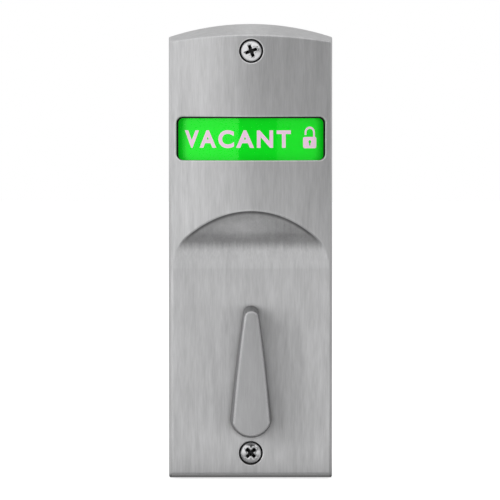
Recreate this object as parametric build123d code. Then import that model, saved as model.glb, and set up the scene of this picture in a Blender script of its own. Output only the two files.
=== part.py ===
"""Door occupancy indicator: a thumb turn whose gears lift a two-colour flag behind a curved window.

The origin is where the turn's axis meets the door. +Z is up, and the door's face is the plane y = 0.
The indicator's front faces -Y, so a depth in this file is a distance in front of the door, y = -depth.
"""

import math
import os

from build123d import *

# Cover: a satin stainless casting, convex from side to side, with a scoop for the fingers round the turn.
COVER_WIDTH = 50.8
COVER_LOW_Z = -19.06
COVER_APEX_Z = 122.1
TOP_ARC_R = 80.7
CROWN_DEPTH = 17.5
CROWN_R = 37.8
SIDE_DRAFT = 4.0
END_DRAFT = 11.5
FRONT_WALL = 2.0
SIDE_WALL = 1.5
CORNER_R = 0.6
EDGE_R = 0.45

# Scoop: a flat floor for the turn, and a ramp that rises from it to the crown.
FLOOR_DEPTH = 8.75
SCOOP_TOP_Z = 64.6
SCOOP_SLOPE = 34.6
SCOOP_BLEND_R = 18.0

# Window, with a foam gasket and a curved lens in a pocket behind it.
WINDOW_MARGIN = 2.4
WINDOW_HEIGHT = 13.4
WINDOW_Z = 86.57
WINDOW_CORNER_R = 2.0
WINDOW_EDGE_R = 0.25
POCKET_WALL = 1.4
POCKET_LAP = 2.0
GASKET_THICK = 0.5
GASKET_END_SHOW = 0.6
GASKET_TOP_SHOW = 0.45
LENS_THICK = 1.0
LENS_CLEARANCE = 0.1

# Fixing screws: number 6 pan heads, one above the window and one below the turn.
SCREW_UPPER_Z = 113.54
SCREW_LOWER_Z = -10.86
SCREW_R = 1.75
SCREW_NECK_R = 1.5
SCREW_THREAD_START = 0.5
SCREW_REACH = 36.0
SCREW_HEAD_R = 3.15
SCREW_HEAD_HEIGHT = 2.35
SCREW_RIM_HEIGHT = 1.6
SCREW_HEAD_SINK = 0.25
COUNTERBORE_R = 3.73
SCREW_HOLE_R = 1.95
RECESS_R = 2.2
RECESS_SLOT = 1.0
RECESS_DEPTH = 1.9
UPPER_RECESS_TURN = 20.0
LOWER_RECESS_TURN = 45.0
BOSS_WALL = 1.05
BOSS_SEAT = 0.55
STEM_WALL = 1.65

# Back plate, which carries the gears and rails, and the four screws that hold it in the cover.
PLATE_THICK = 1.5
PLATE_CLEARANCE = 0.15
PLATE_SCREW_SIDE_INSET = 4.2
PLATE_SCREW_END_INSET = 5.0
PLATE_SCREW_R = 1.4
PLATE_SCREW_HEAD_R = 2.5
PLATE_SCREW_LENGTH = 5.5
PLATE_BOSS_R = 2.6
PILOT_SPARE = 0.3
LOOSE_CLEARANCE = 0.1
FLAT_RECESS_ARM = 0.55
FLAT_RECESS_SLOT = 0.16
FLAT_RECESS_SINK = 0.35

# Thumb turn: a tapered teardrop, wide at its axis and round at its tip.
LEVER_GAP = 1.0
LEVER_THICK = 12.0
LEVER_TIP_Z = 34.85
LEVER_TIP_R = 2.45
LEVER_HUB_HALF = 6.45
LEVER_HUB_LOW_Z = -6.04
LEVER_CORNER_Z = -0.6
LEVER_SIDE_BOW = 0.22
LEVER_SIDE_DRAFT = 0.8
LEVER_TIP_DRAFT = 1.15
LEVER_HUB_DRAFT = 1.25
LEVER_EDGE_R = 0.4
LEVER_TIP_SHRINK = 0.35
LEVER_CORNER_DROP = 0.4

# Shaft of the turn, its two flanged bushes, and what holds it in place.
SHAFT_R = 4.0
SPIGOT_R = 3.0
SPIGOT_LENGTH = 6.8
DRIVE_R = 3.5
DRIVE_FLAT = 2.7
JOURNAL_R = 3.0
SHAFT_TAIL = 9.0
RUNNING_CLEARANCE = 0.05
FIT_CLEARANCE = 0.02
BUSH_WALL = 0.95
FRONT_FLANGE = 0.8
REAR_FLANGE = 1.2
BUSH_FLANGE_THICK = 0.5
BUSH_PROUD = 0.45
THRUST_WASHER_THICK = 0.45
THRUST_WASHER_INSET = 0.2
RING_THICK = 0.45
RING_GROOVE = 0.6
RING_WIDTH = 2.1
RING_GAP = 4.0
RING_PLAY = 0.35
DRIVE_SPARE = 0.35
CURVED_WASHER_THICK = 0.3
CURVED_WASHER_R = 18.0
SET_SCREW_R = 1.5
SET_SCREW_INSET = 3.45
SET_SCREW_SOCKET = 1.5
SOCKET_SHARE = 0.6
SPOT_DEPTH = 0.25

# Tailpiece: the flat blade that turns the lock inside the door.
BLADE_WIDTH = 5.0
BLADE_THICK = 1.5
BLADE_END = 45.0
BLADE_START = 1.5
BLADE_CHAMFER = 0.8
BLADE_PIN_R = 0.8
BLADE_PIN_Y = 5.0

# Gear train: a sector on the shaft, an idler above it and a rack on the flag's link.
GEAR_MODULE = 0.8
SECTOR_COUNT = 24
IDLER_COUNT = 30
SECTOR_USED = 9
TURN_ANGLE = 90.0
PRESSURE_ANGLE = 20.0
TOOTH_THINNING = 0.07
ROOT_STEP = 0.05
GEAR_THICK = 1.6
GEAR_STANDOFF = 1.55
SECTOR_HUB_R = 5.5
STOP_PIN_R = 1.0
STOP_PIN_ORBIT = 7.8
STOP_CLEARANCE = 0.1
STOP_PIN_PROUD = 0.2
POST_R = 2.0
POST_COLLAR_R = 3.4
POST_RIVET_R = 1.5
POST_HEAD = 0.95
CLIP_THICK = 0.4
CLIP_WIDTH = 1.5
CLIP_GAP = 2.4
IDLER_HOLES = 6
IDLER_HOLE_R = 2.0
IDLER_HOLE_ORBIT = 6.9

# Flag: a curved moulding with a green and a red film, and the steel link that lifts it.
FLAG_GAP = 0.25
FLAG_THICK = 1.2
FLAG_END_GAP = 0.3
LABEL_MARGIN = 0.15
LABEL_LAP = 0.3
LABEL_THICK = 0.15
RIB_THICK = 1.5
RIB_GAP = 0.9
LINK_THICK = 1.5
LINK_STANDOFF = 1.6
LINK_ARM_WIDTH = 4.5
LINK_NECK_INSET = 2.1
LINK_ROOT_LAP = 0.5
YOKE_INSET = 2.0
YOKE_CORNER_R = 1.0
YOKE_HOLE_WIDTH = 9.4
YOKE_HOLE_INSET = 6.3
YOKE_HOLE_CORNER_R = 2.0
LINK_SCREW_X = 8.6
LINK_SCREW_INSET = 3.4
LINK_SCREW_R = 1.0
LINK_BOSS_R = 2.1
LINK_HEAD_R = 1.8
LINK_HEAD_HEIGHT = 0.9
LINK_HEAD_ROUND = 0.4
LINK_SLOT_HALF = 0.25
LINK_SLOT_DEPTH = 0.4
LINK_SCREW_BITE = 3.0

# Guide rails: C-shaped, one each side of the yoke and a short one behind the rack.
RAIL_CLEARANCE = 0.2
RAIL_LIP = 1.2
RAIL_LIP_THICK = 0.8
RAIL_WALL = 3.4
RAIL_OVERRUN = 1.5
RAIL_HEADROOM = 1.3
RACK_GUIDE_LENGTH = 18.0
RAIL_SCREW_R = 1.0
RAIL_SCREW_HEAD_R = 1.9
RAIL_SCREW_INSET = 6.0

# Values that follow from the ones above.
CROWN_CENTRE_Y = CROWN_R - CROWN_DEPTH
FLOOR_BACK = FLOOR_DEPTH - FRONT_WALL
LEVER_BACK_DEPTH = FLOOR_DEPTH + LEVER_GAP
LEVER_FRONT_DEPTH = LEVER_BACK_DEPTH + LEVER_THICK
SET_SCREW_DEPTH = LEVER_BACK_DEPTH + SET_SCREW_INSET
GEAR_DEPTH = PLATE_THICK + GEAR_STANDOFF
LINK_DEPTH = PLATE_THICK + LINK_STANDOFF
WINDOW_WIDTH = COVER_WIDTH - 2 * WINDOW_MARGIN
FLAG_WIDTH = WINDOW_WIDTH - 2 * FLAG_END_GAP
LABEL_WIDTH = FLAG_WIDTH - 2 * LABEL_MARGIN
LABEL_HEIGHT = WINDOW_HEIGHT + 2 * LABEL_LAP
SECTOR_R = GEAR_MODULE * SECTOR_COUNT / 2
IDLER_R = GEAR_MODULE * IDLER_COUNT / 2
IDLER_Z = SECTOR_R + IDLER_R
ADDENDUM = GEAR_MODULE
DEDENDUM = 1.25 * GEAR_MODULE
RACK_PITCH = math.pi * GEAR_MODULE
TRAVEL = SECTOR_R * math.radians(TURN_ANGLE)
GEAR_FRONT = GEAR_DEPTH + GEAR_THICK
LINK_FRONT = LINK_DEPTH + LINK_THICK
POCKET_R = CROWN_R - POCKET_WALL
GASKET_BACK_R = POCKET_R - GASKET_THICK
LENS_BACK_R = GASKET_BACK_R - LENS_THICK
LABEL_FRONT_R = LENS_BACK_R - FLAG_GAP
FLAG_FRONT_R = LABEL_FRONT_R - LABEL_THICK
FLAG_BACK_R = FLAG_FRONT_R - FLAG_THICK
RAIL_FRONT = LINK_FRONT + RAIL_CLEARANCE + RAIL_LIP_THICK
RAIL_OUTER_X = math.sqrt(FLAG_BACK_R**2 - (CROWN_CENTRE_Y + RAIL_FRONT + RAIL_HEADROOM) ** 2)
YOKE_WIDTH = 2 * (RAIL_OUTER_X - RAIL_WALL - RAIL_CLEARANCE)
RIB_OUTER_X = YOKE_WIDTH / 2 - RAIL_LIP - RIB_GAP
LINK_NECK_X = YOKE_WIDTH / 2 - LINK_NECK_INSET - LINK_ARM_WIDTH
UPPER_SEAT = CROWN_DEPTH - SCREW_HEAD_SINK - SCREW_HEAD_HEIGHT
LOWER_SEAT = FLOOR_DEPTH - SCREW_HEAD_SINK - SCREW_HEAD_HEIGHT
SHOWN_Z = WINDOW_Z
WAITING_Z = WINDOW_Z - TRAVEL
YOKE_LOW_Z = WAITING_Z - LABEL_HEIGHT / 2 + YOKE_INSET
YOKE_HIGH_Z = SHOWN_Z + LABEL_HEIGHT / 2 - YOKE_INSET
RAIL_LOW_Z = YOKE_LOW_Z - RAIL_OVERRUN
RAIL_HIGH_Z = YOKE_HIGH_Z + TRAVEL + RAIL_OVERRUN
SIDE_TAN = math.tan(math.radians(SIDE_DRAFT))
END_TAN = math.tan(math.radians(END_DRAFT))
END_WALL = FRONT_WALL / math.cos(math.radians(END_DRAFT))
PLATE_HALF = COVER_WIDTH / 2 - SIDE_WALL - PLATE_THICK * SIDE_TAN - PLATE_CLEARANCE
PLATE_END_GAP = END_WALL + PLATE_THICK * END_TAN + PLATE_CLEARANCE
CUT_MARGIN = 10.0
LIFTED = (Align.CENTER, Align.CENTER, Align.MIN)


def disc(radius, low_depth, high_depth, x=0.0, z=0.0):
    """Round bar square to the door, between two depths."""
    flat = Pos(x, z) * Circle(radius)
    return extrude(Plane.XZ.offset(low_depth) * flat, amount=high_depth - low_depth)


def plate(face, low_depth, high_depth):
    """Flat plate whose face is drawn in x and z."""
    return extrude(Plane.XZ.offset(low_depth) * face, amount=high_depth - low_depth)


def outline(*points):
    """Face inside a closed line of straight runs."""
    return make_face(Polyline(*points, close=True))


def block(low_x, high_x, low_depth, high_depth, low_z, high_z):
    """Rectangular block given by its limits."""
    flat = outline((low_x, low_z), (high_x, low_z), (high_x, high_z), (low_x, high_z))
    return plate(flat, low_depth, high_depth)


def upright(section, low_z, high_z):
    """Prism along z whose section is drawn in x and y."""
    return Pos(0, 0, low_z) * extrude(section, amount=high_z - low_z)


def across(section, half_width):
    """Prism along x, centred, whose section is drawn in y and z."""
    return extrude(Plane.YZ * section, amount=half_width, both=True)


def crown_band(front_r, back_r, width, low_z, high_z):
    """Curved plate that follows the crown, between two radii about the crown's own axis."""
    ring = Pos(0, CROWN_CENTRE_Y) * (Circle(front_r) - Circle(back_r))
    half = width / 2
    front_y = CROWN_CENTRE_Y - front_r - 1
    gate = outline((-half, front_y), (half, front_y), (half, CROWN_CENTRE_Y), (-half, CROWN_CENTRE_Y))
    return upright(ring & gate, low_z, high_z)


def cover_form(front_wall, side_wall, back_y):
    """The cover's outer form, moved in by the walls. Its back lies at back_y."""
    half = COVER_WIDTH / 2 - side_wall / math.cos(math.radians(SIDE_DRAFT))
    far_y = -CROWN_DEPTH - 1
    back_half = half + back_y * SIDE_TAN
    far_half = half + far_y * SIDE_TAN
    trapezoid = outline((-back_half, back_y), (back_half, back_y), (far_half, far_y), (-far_half, far_y))
    section = trapezoid & Pos(0, CROWN_CENTRE_Y) * Circle(CROWN_R - front_wall)
    column = upright(section, COVER_LOW_Z - CUT_MARGIN, COVER_APEX_Z + CUT_MARGIN)

    end_wall = front_wall / math.cos(math.radians(END_DRAFT))
    arch = arched_face(COVER_WIDTH, COVER_LOW_Z - CUT_MARGIN, end_wall, back_y * END_TAN)
    arch_face = (Plane.XZ.offset(-back_y) * arch).faces()[0]
    reach = back_y - far_y
    top_prism = Solid.extrude(arch_face, Vector(0, -reach, -reach * END_TAN))

    high = COVER_APEX_Z + CUT_MARGIN
    back_low = COVER_LOW_Z + end_wall - back_y * END_TAN
    far_low = back_low + reach * END_TAN
    bottom = outline((back_y, back_low), (back_y, high), (far_y, high), (far_y, far_low))
    return column & top_prism & across(bottom, COVER_WIDTH)


def arched_face(half, low_z, inset, lift=0.0):
    """Face between two sides and a level foot, closed by the cover's arch moved in and lifted."""
    radius = TOP_ARC_R - inset
    centre_z = COVER_APEX_Z - TOP_ARC_R + lift
    side_z = centre_z + math.sqrt(radius**2 - half**2)
    foot = Polyline((-half, side_z), (-half, low_z), (half, low_z), (half, side_z))
    arch = ThreePointArc((half, side_z), (0, centre_z + radius), (-half, side_z))
    return make_face(Curve() + [foot, arch])


def scoop_form(wall):
    """What the scoop takes out of the cover. With a wall, the form that stands clear behind it."""
    slope = math.radians(SCOOP_SLOPE)
    floor = FLOOR_DEPTH - wall
    ramp_shift = wall / math.cos(slope)
    corner_z = SCOOP_TOP_Z - (CROWN_DEPTH - ramp_shift - floor) / math.tan(slope)
    far = CROWN_DEPTH + CUT_MARGIN
    far_z = SCOOP_TOP_Z + (far - CROWN_DEPTH + ramp_shift) / math.tan(slope)
    low = COVER_LOW_Z - CUT_MARGIN
    profile = outline((-floor, low), (-floor, corner_z), (-far, far_z), (-far, low))
    corner = profile.vertices().sort_by_distance((-floor, corner_z))[0]
    return across(fillet(corner, SCOOP_BLEND_R + wall), COVER_WIDTH)


def window_prism(width, height, corner_r, z=WINDOW_Z):
    """Rounded rectangle at the window, cut straight back from the front."""
    flat = Pos(0, z) * RectangleRounded(width, height, corner_r)
    return plate(flat, 0, CROWN_DEPTH + 1)


def plate_screw_places():
    """Centres of the four screws that hold the back plate, inset from its sides and ends."""
    side_x = PLATE_HALF - PLATE_SCREW_SIDE_INSET
    arch_r = TOP_ARC_R - PLATE_END_GAP
    arch_z = COVER_APEX_Z - TOP_ARC_R + math.sqrt(arch_r**2 - side_x**2)
    low_z = COVER_LOW_Z + PLATE_END_GAP + PLATE_SCREW_END_INSET
    return [(x, z) for x in (-side_x, side_x) for z in (low_z, arch_z - PLATE_SCREW_END_INSET)]


def escutcheon_cover():
    """Cast cover with its scoop, window, screw bosses and bush hole."""
    shell = cover_form(0, 0, 0) - scoop_form(0)
    corners = [e for e in shell.edges() if is_corner(e)]
    shell = fillet(corners, CORNER_R)
    shell = fillet([e for e in shell.edges() if is_front_edge(e)], EDGE_R)
    shell -= window_prism(WINDOW_WIDTH, WINDOW_HEIGHT, WINDOW_CORNER_R)
    shell = fillet([e for e in shell.edges() if is_window_edge(e)], WINDOW_EDGE_R)
    hollow = cover_form(FRONT_WALL, SIDE_WALL, 1) - scoop_form(FRONT_WALL)
    shell = shell - hollow

    solid_inside = cover_form(FRONT_WALL / 2, SIDE_WALL / 2, 0) - scoop_form(FRONT_WALL / 2)
    bore_boss_r = COUNTERBORE_R + BOSS_WALL
    bosses = disc(bore_boss_r, UPPER_SEAT - BOSS_SEAT, CROWN_DEPTH, z=SCREW_UPPER_Z)
    bosses += disc(SCREW_HOLE_R + STEM_WALL, PLATE_THICK, UPPER_SEAT, z=SCREW_UPPER_Z)
    bosses += disc(bore_boss_r, PLATE_THICK, FLOOR_DEPTH, z=SCREW_LOWER_Z)
    for x, z in plate_screw_places():
        bosses += disc(PLATE_BOSS_R, PLATE_THICK, CROWN_DEPTH, x, z)
    shell = shell + (bosses & solid_inside)

    for z, seat in ((SCREW_UPPER_Z, UPPER_SEAT), (SCREW_LOWER_Z, LOWER_SEAT)):
        shell -= disc(COUNTERBORE_R, seat, CROWN_DEPTH + 1, z=z)
        shell -= disc(SCREW_HOLE_R, 0, CROWN_DEPTH, z=z)
    for x, z in plate_screw_places():
        shell -= disc(PLATE_SCREW_R, 0, PLATE_SCREW_LENGTH + PILOT_SPARE, x, z)
    shell -= disc(SHAFT_R + RUNNING_CLEARANCE + BUSH_WALL, FLOOR_BACK - 1, FLOOR_DEPTH + 1)
    pocket_low = WINDOW_Z - WINDOW_HEIGHT / 2 - POCKET_LAP
    pocket_high = WINDOW_Z + WINDOW_HEIGHT / 2 + POCKET_LAP
    return shell - crown_band(POCKET_R, LENS_BACK_R, pocket_width(), pocket_low, pocket_high)


def is_corner(edge):
    """Whether an edge runs from the back to the front, where a side meets the top or the bottom."""
    ends = sorted(-v.Y for v in edge.vertices())
    return len(ends) == 2 and ends[0] < 0.01 and ends[1] > 1


def is_front_edge(edge):
    """Whether an edge bounds the crown or the floor. The smooth seams of the scoop's ramp do neither."""
    level = edge.geom_type == GeomType.LINE and abs(edge.tangent_at(0).X) > 0.99
    seam = level and edge.position_at(0.5).Z > SCREW_LOWER_Z
    return min(-v.Y for v in edge.vertices()) > 0.5 and not seam


def is_window_edge(edge):
    """Whether an edge is part of the window's rim on the crown."""
    reach = WINDOW_HEIGHT / 2 + 0.01
    beside = [abs(v.Z - WINDOW_Z) < reach for v in edge.vertices()]
    radii = [math.hypot(v.X, v.Y - CROWN_CENTRE_Y) for v in edge.vertices()]
    return all(beside) and min(radii) > CROWN_R - 0.01


def pocket_width():
    """Width of the pocket behind the window, out to the side walls."""
    return WINDOW_WIDTH + 2 * LENS_CLEARANCE


def pocket_band(front_r, back_r):
    """Curved plate that fills the pocket, less the clearance round its edge."""
    lap = POCKET_LAP - LENS_CLEARANCE
    low = WINDOW_Z - WINDOW_HEIGHT / 2 - lap
    high = WINDOW_Z + WINDOW_HEIGHT / 2 + lap
    return crown_band(front_r, back_r, pocket_width() - 2 * FIT_CLEARANCE, low, high)


def window_gasket():
    """Black foam frame between the cover and the lens. A little of it shows inside the window."""
    frame = pocket_band(POCKET_R, GASKET_BACK_R)
    width = WINDOW_WIDTH - 2 * GASKET_END_SHOW
    height = WINDOW_HEIGHT - GASKET_TOP_SHOW
    corner_r = WINDOW_CORNER_R - GASKET_TOP_SHOW
    return frame - window_prism(width, height, corner_r, WINDOW_Z - GASKET_TOP_SHOW / 2)


def window_lens():
    """Clear polycarbonate pane, bonded to the gasket."""
    return pocket_band(GASKET_BACK_R, LENS_BACK_R)


def back_plate():
    """Pressed steel plate inside the cover's rim."""
    base = plate(arched_face(PLATE_HALF, COVER_LOW_Z + PLATE_END_GAP, PLATE_END_GAP), 0, PLATE_THICK)
    for z in (SCREW_UPPER_Z, SCREW_LOWER_Z):
        base -= disc(SCREW_HOLE_R, 0, PLATE_THICK, z=z)
    base -= disc(JOURNAL_R + RUNNING_CLEARANCE + BUSH_WALL, 0, PLATE_THICK)
    base -= disc(POST_RIVET_R, 0, PLATE_THICK, z=IDLER_Z)
    for x, z in stop_pin_places():
        base -= disc(STOP_PIN_R, 0, PLATE_THICK, x, z)
    for x, z in plate_screw_places():
        base -= screw_seat(PLATE_SCREW_R, PLATE_SCREW_HEAD_R, x, z)
    for x, z in rail_screw_places():
        base -= screw_seat(RAIL_SCREW_R, RAIL_SCREW_HEAD_R, x, z)
    return base


def screw_seat(shank_r, head_r, x, z):
    """What a flat-headed screw needs cut from the back plate."""
    return countersunk(shank_r + LOOSE_CLEARANCE, head_r + LOOSE_CLEARANCE, PLATE_THICK, x, z)


def countersunk(shank_r, head_r, length, x, z):
    """Flat-headed screw's form: a cone at the door, then a shank."""
    cone_depth = head_r - shank_r
    circle_back = Plane.XZ * (Pos(x, z) * Circle(head_r))
    circle_front = Plane.XZ.offset(cone_depth) * (Pos(x, z) * Circle(shank_r))
    return loft([circle_back, circle_front]) + disc(shank_r, cone_depth, length, x, z)


def flat_screw(shank_r, head_r, length, x, z):
    """Flat-headed machine screw with a cross recess at the door side."""
    body = countersunk(shank_r, head_r, length, x, z)
    arm = FLAT_RECESS_ARM * head_r
    slot = FLAT_RECESS_SLOT * head_r
    sunk = FLAT_RECESS_SINK * head_r
    body -= block(x - arm, x + arm, 0, sunk, z - slot, z + slot)
    return body - block(x - slot, x + slot, 0, sunk, z - arm, z + arm)


def back_plate_screws():
    size = (PLATE_SCREW_R, PLATE_SCREW_HEAD_R, PLATE_SCREW_LENGTH)
    return [flat_screw(*size, x, z) for x, z in plate_screw_places()]


def fixing_screw(z, seat, recess_turn):
    """Pan-headed screw: a domed head with a cross recess, a neck, and a rolled thread in the door."""
    top = seat + SCREW_HEAD_HEIGHT
    rise = SCREW_HEAD_HEIGHT - SCREW_RIM_HEIGHT
    dome_r = (SCREW_HEAD_R**2 + rise**2) / (2 * rise)
    head = disc(SCREW_HEAD_R, seat, top, z=z) & Pos(0, dome_r - top, z) * Sphere(dome_r)
    wide = Plane.XZ.offset(top) * (Pos(0, z) * Circle(RECESS_R))
    narrow = Plane.XZ.offset(top - RECESS_DEPTH) * (Pos(0, z) * Circle(RECESS_SLOT))
    cross = Rectangle(2 * RECESS_R, RECESS_SLOT) + Rectangle(RECESS_SLOT, 2 * RECESS_R)
    cross = Pos(0, z) * Rot(0, 0, recess_turn) * cross
    recess = loft([wide, narrow]) & plate(cross, top - RECESS_DEPTH, top)
    neck = disc(SCREW_NECK_R, -SCREW_THREAD_START, seat, z=z)
    return head - recess + neck + disc(SCREW_R, -SCREW_REACH, -SCREW_THREAD_START, z=z)


def mounting_screws():
    upper = fixing_screw(SCREW_UPPER_Z, UPPER_SEAT, UPPER_RECESS_TURN)
    lower = fixing_screw(SCREW_LOWER_Z, LOWER_SEAT, LOWER_RECESS_TURN)
    return [upper, lower]


def front_bush():
    """Flanged brass bush in the cover, for the turn's shaft."""
    bore = SHAFT_R + RUNNING_CLEARANCE
    body = disc(bore + BUSH_WALL, FLOOR_BACK - BUSH_PROUD, FLOOR_DEPTH)
    body += disc(bore + BUSH_WALL + FRONT_FLANGE, FLOOR_DEPTH, FLOOR_DEPTH + BUSH_FLANGE_THICK)
    return body - disc(bore, 0, CROWN_DEPTH)


def rear_bush():
    """Flanged brass bush in the back plate."""
    bore = JOURNAL_R + RUNNING_CLEARANCE
    body = disc(bore + BUSH_WALL, 0, PLATE_THICK)
    body += disc(bore + BUSH_WALL + REAR_FLANGE, PLATE_THICK, PLATE_THICK + BUSH_FLANGE_THICK)
    return body - disc(bore, -1, CROWN_DEPTH)


def lever_outline(side_inset, tip_inset, hub_inset):
    """Teardrop: an arc round the hub, two slightly bowed sides and a round tip."""
    half = LEVER_HUB_HALF - side_inset
    tip_r = LEVER_TIP_R - LEVER_TIP_SHRINK * side_inset
    tip_z = LEVER_TIP_Z - tip_inset - tip_r
    corner_z = LEVER_CORNER_Z - LEVER_CORNER_DROP * side_inset
    lean = math.atan2(half - tip_r, tip_z - corner_z)
    side_end = Vector(tip_r * math.cos(lean), tip_z + tip_r * math.sin(lean))
    corner = Vector(half, corner_z)
    middle = (side_end + corner) / 2 + Vector(math.cos(lean), math.sin(lean)) * LEVER_SIDE_BOW
    right = ThreePointArc(side_end, middle, corner)
    left = mirror(right, Plane.YZ)
    hub = ThreePointArc(corner, (0, LEVER_HUB_LOW_Z + hub_inset), (-corner.X, corner.Y))
    tip = ThreePointArc((-side_end.X, side_end.Y), (0, tip_z + tip_r), side_end)
    return make_face(Curve() + [hub, left, tip, right])


def turn_lever():
    """Cast lever of the turn, with a blind bore for the shaft and a tapped hole for its set screw."""
    back = Plane.XZ.offset(LEVER_BACK_DEPTH) * lever_outline(0, 0, 0)
    front_outline = lever_outline(LEVER_SIDE_DRAFT, LEVER_TIP_DRAFT, LEVER_HUB_DRAFT)
    front = Plane.XZ.offset(LEVER_FRONT_DEPTH) * front_outline
    body = loft([back, front], ruled=True)
    rim = [e for e in body.edges() if -e.position_at(0.5).Y > LEVER_FRONT_DEPTH - 0.01]
    body = fillet(rim, LEVER_EDGE_R)
    bore_end = LEVER_BACK_DEPTH + SPIGOT_LENGTH + PILOT_SPARE
    body -= disc(SPIGOT_R + FIT_CLEARANCE, LEVER_BACK_DEPTH, bore_end)
    hole = Cylinder(SET_SCREW_R, -LEVER_HUB_LOW_Z, align=LIFTED)
    return body - Pos(0, -SET_SCREW_DEPTH, LEVER_HUB_LOW_Z) * hole


def lever_set_screw():
    """Socket set screw from the lever's underside on to a flat of the spigot."""
    low = LEVER_HUB_LOW_Z + LEVER_HUB_DRAFT
    length = SPOT_DEPTH - SPIGOT_R - low
    screw = Cylinder(SET_SCREW_R, length, align=LIFTED)
    hexagon = RegularPolygon(SET_SCREW_SOCKET / 2, 6, major_radius=False)
    socket = extrude(hexagon, amount=SOCKET_SHARE * length)
    return Pos(0, -SET_SCREW_DEPTH, low) * (screw - socket)


def turn_shaft():
    """Turned steel shaft: spigot for the lever, bearing collar, double-D drive and slotted tail."""
    shoulder = GEAR_FRONT + RUNNING_CLEARANCE
    drive_back = GEAR_DEPTH - DRIVE_SPARE
    shaft = disc(SPIGOT_R, LEVER_BACK_DEPTH, LEVER_BACK_DEPTH + SPIGOT_LENGTH)
    shaft += disc(SHAFT_R, shoulder, LEVER_BACK_DEPTH)
    flats = block(-DRIVE_FLAT, DRIVE_FLAT, drive_back, shoulder, -DRIVE_R, DRIVE_R)
    shaft += disc(DRIVE_R, drive_back, shoulder) & flats
    shaft += disc(JOURNAL_R, -SHAFT_TAIL, drive_back)
    groove_back = ring_depth() - RUNNING_CLEARANCE
    groove = disc(SHAFT_R, groove_back, groove_back + RING_THICK + 2 * RUNNING_CLEARANCE)
    shaft -= groove - disc(SHAFT_R - RING_GROOVE, 0, CROWN_DEPTH)
    spot_half = SET_SCREW_R + LOOSE_CLEARANCE
    spot_low, spot_high = SET_SCREW_DEPTH - spot_half, SET_SCREW_DEPTH + spot_half
    shaft -= block(-SPIGOT_R, SPIGOT_R, spot_low, spot_high, -SPIGOT_R, SPOT_DEPTH - SPIGOT_R)
    slot_half = BLADE_THICK / 2 + RUNNING_CLEARANCE
    shaft -= block(-slot_half, slot_half, -SHAFT_TAIL, -BLADE_START, -JOURNAL_R, JOURNAL_R)
    return shaft - blade_pin_hole(0)


def ring_depth():
    """Depth of the back of the retaining ring, just behind the front bush."""
    return FLOOR_BACK - BUSH_PROUD - RING_PLAY - RING_THICK


def split_ring(inner_r, width, thick, depth, gap, z=0.0):
    """Open retaining ring with its gap at the bottom."""
    ring = disc(inner_r + width, depth, depth + thick, z=z) - disc(inner_r, depth, depth + thick, z=z)
    return ring - block(-gap / 2, gap / 2, depth, depth + thick, z - inner_r - width, z)


def shaft_retaining_ring():
    return split_ring(SHAFT_R - RING_GROOVE, RING_WIDTH, RING_THICK, ring_depth(), RING_GAP)


def thrust_washer():
    """Nylon washer between the lever and the front bush."""
    low = FLOOR_DEPTH + BUSH_FLANGE_THICK + RUNNING_CLEARANCE / 2
    outer = SHAFT_R + RUNNING_CLEARANCE + BUSH_WALL + FRONT_FLANGE - THRUST_WASHER_INSET
    washer = disc(outer, low, low + THRUST_WASHER_THICK)
    return washer - disc(SHAFT_R + 2 * RUNNING_CLEARANCE, 0, CROWN_DEPTH)


def curved_washer():
    """Bowed spring washer between the rear bush and the sector. It keeps the turn where it is put."""
    seat = PLATE_THICK + BUSH_FLANGE_THICK + RUNNING_CLEARANCE
    outer = JOURNAL_R + RUNNING_CLEARANCE + BUSH_WALL + REAR_FLANGE
    washer = disc(outer, 0, CROWN_DEPTH) - disc(DRIVE_R + 3 * RUNNING_CLEARANCE, 0, CROWN_DEPTH)
    crest = seat + CURVED_WASHER_THICK + bow_height(outer)
    bow_centre = Pos(0, CURVED_WASHER_R - crest, 0)
    shell = Cylinder(CURVED_WASHER_R, 4 * outer, rotation=(0, 90, 0))
    shell -= Cylinder(CURVED_WASHER_R - CURVED_WASHER_THICK, 4 * outer, rotation=(0, 90, 0))
    return washer & bow_centre * shell & disc(outer, seat, GEAR_DEPTH)


def bow_height(reach):
    """Height of the curved washer's bow over its reach."""
    inner_r = CURVED_WASHER_R - CURVED_WASHER_THICK
    return inner_r - math.sqrt(inner_r**2 - reach**2)


def spindle_tailpiece():
    """Flat blade, held in the shaft's slot by a cross pin."""
    thick, wide = BLADE_THICK / 2, BLADE_WIDTH / 2
    blade = block(-thick, thick, -BLADE_END, -BLADE_START - LOOSE_CLEARANCE, -wide, wide)
    tips = [e for e in blade.edges() if is_blade_tip(e.position_at(0.5))]
    return chamfer(tips, BLADE_CHAMFER) - blade_pin_hole(FIT_CLEARANCE)


def is_blade_tip(point):
    """Whether the middle of an edge is at one of the blade's two end corners."""
    return point.Y > BLADE_END - 0.01 and abs(point.Z) > BLADE_WIDTH / 2 - 0.01


def blade_pin_hole(clearance):
    return Pos(0, BLADE_PIN_Y, 0) * Cylinder(BLADE_PIN_R + clearance, 4 * JOURNAL_R, rotation=(0, 90, 0))


def tailpiece_pin():
    length = 2 * math.sqrt(JOURNAL_R**2 - BLADE_PIN_R**2) - LOOSE_CLEARANCE
    return Pos(0, BLADE_PIN_Y, 0) * Cylinder(BLADE_PIN_R, length, rotation=(0, 90, 0))


def involute(angle):
    return math.tan(angle) - angle


def tooth_half_angle(count, radius):
    """Half the angle that a tooth takes up at a radius, on an involute flank."""
    pitch_r = GEAR_MODULE * count / 2
    pressure = math.radians(PRESSURE_ANGLE)
    at_pitch = math.pi / (2 * count) - TOOTH_THINNING / (2 * pitch_r)
    at_radius = math.acos(min(1, pitch_r * math.cos(pressure) / radius))
    return at_pitch + involute(pressure) - involute(at_radius)


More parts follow.
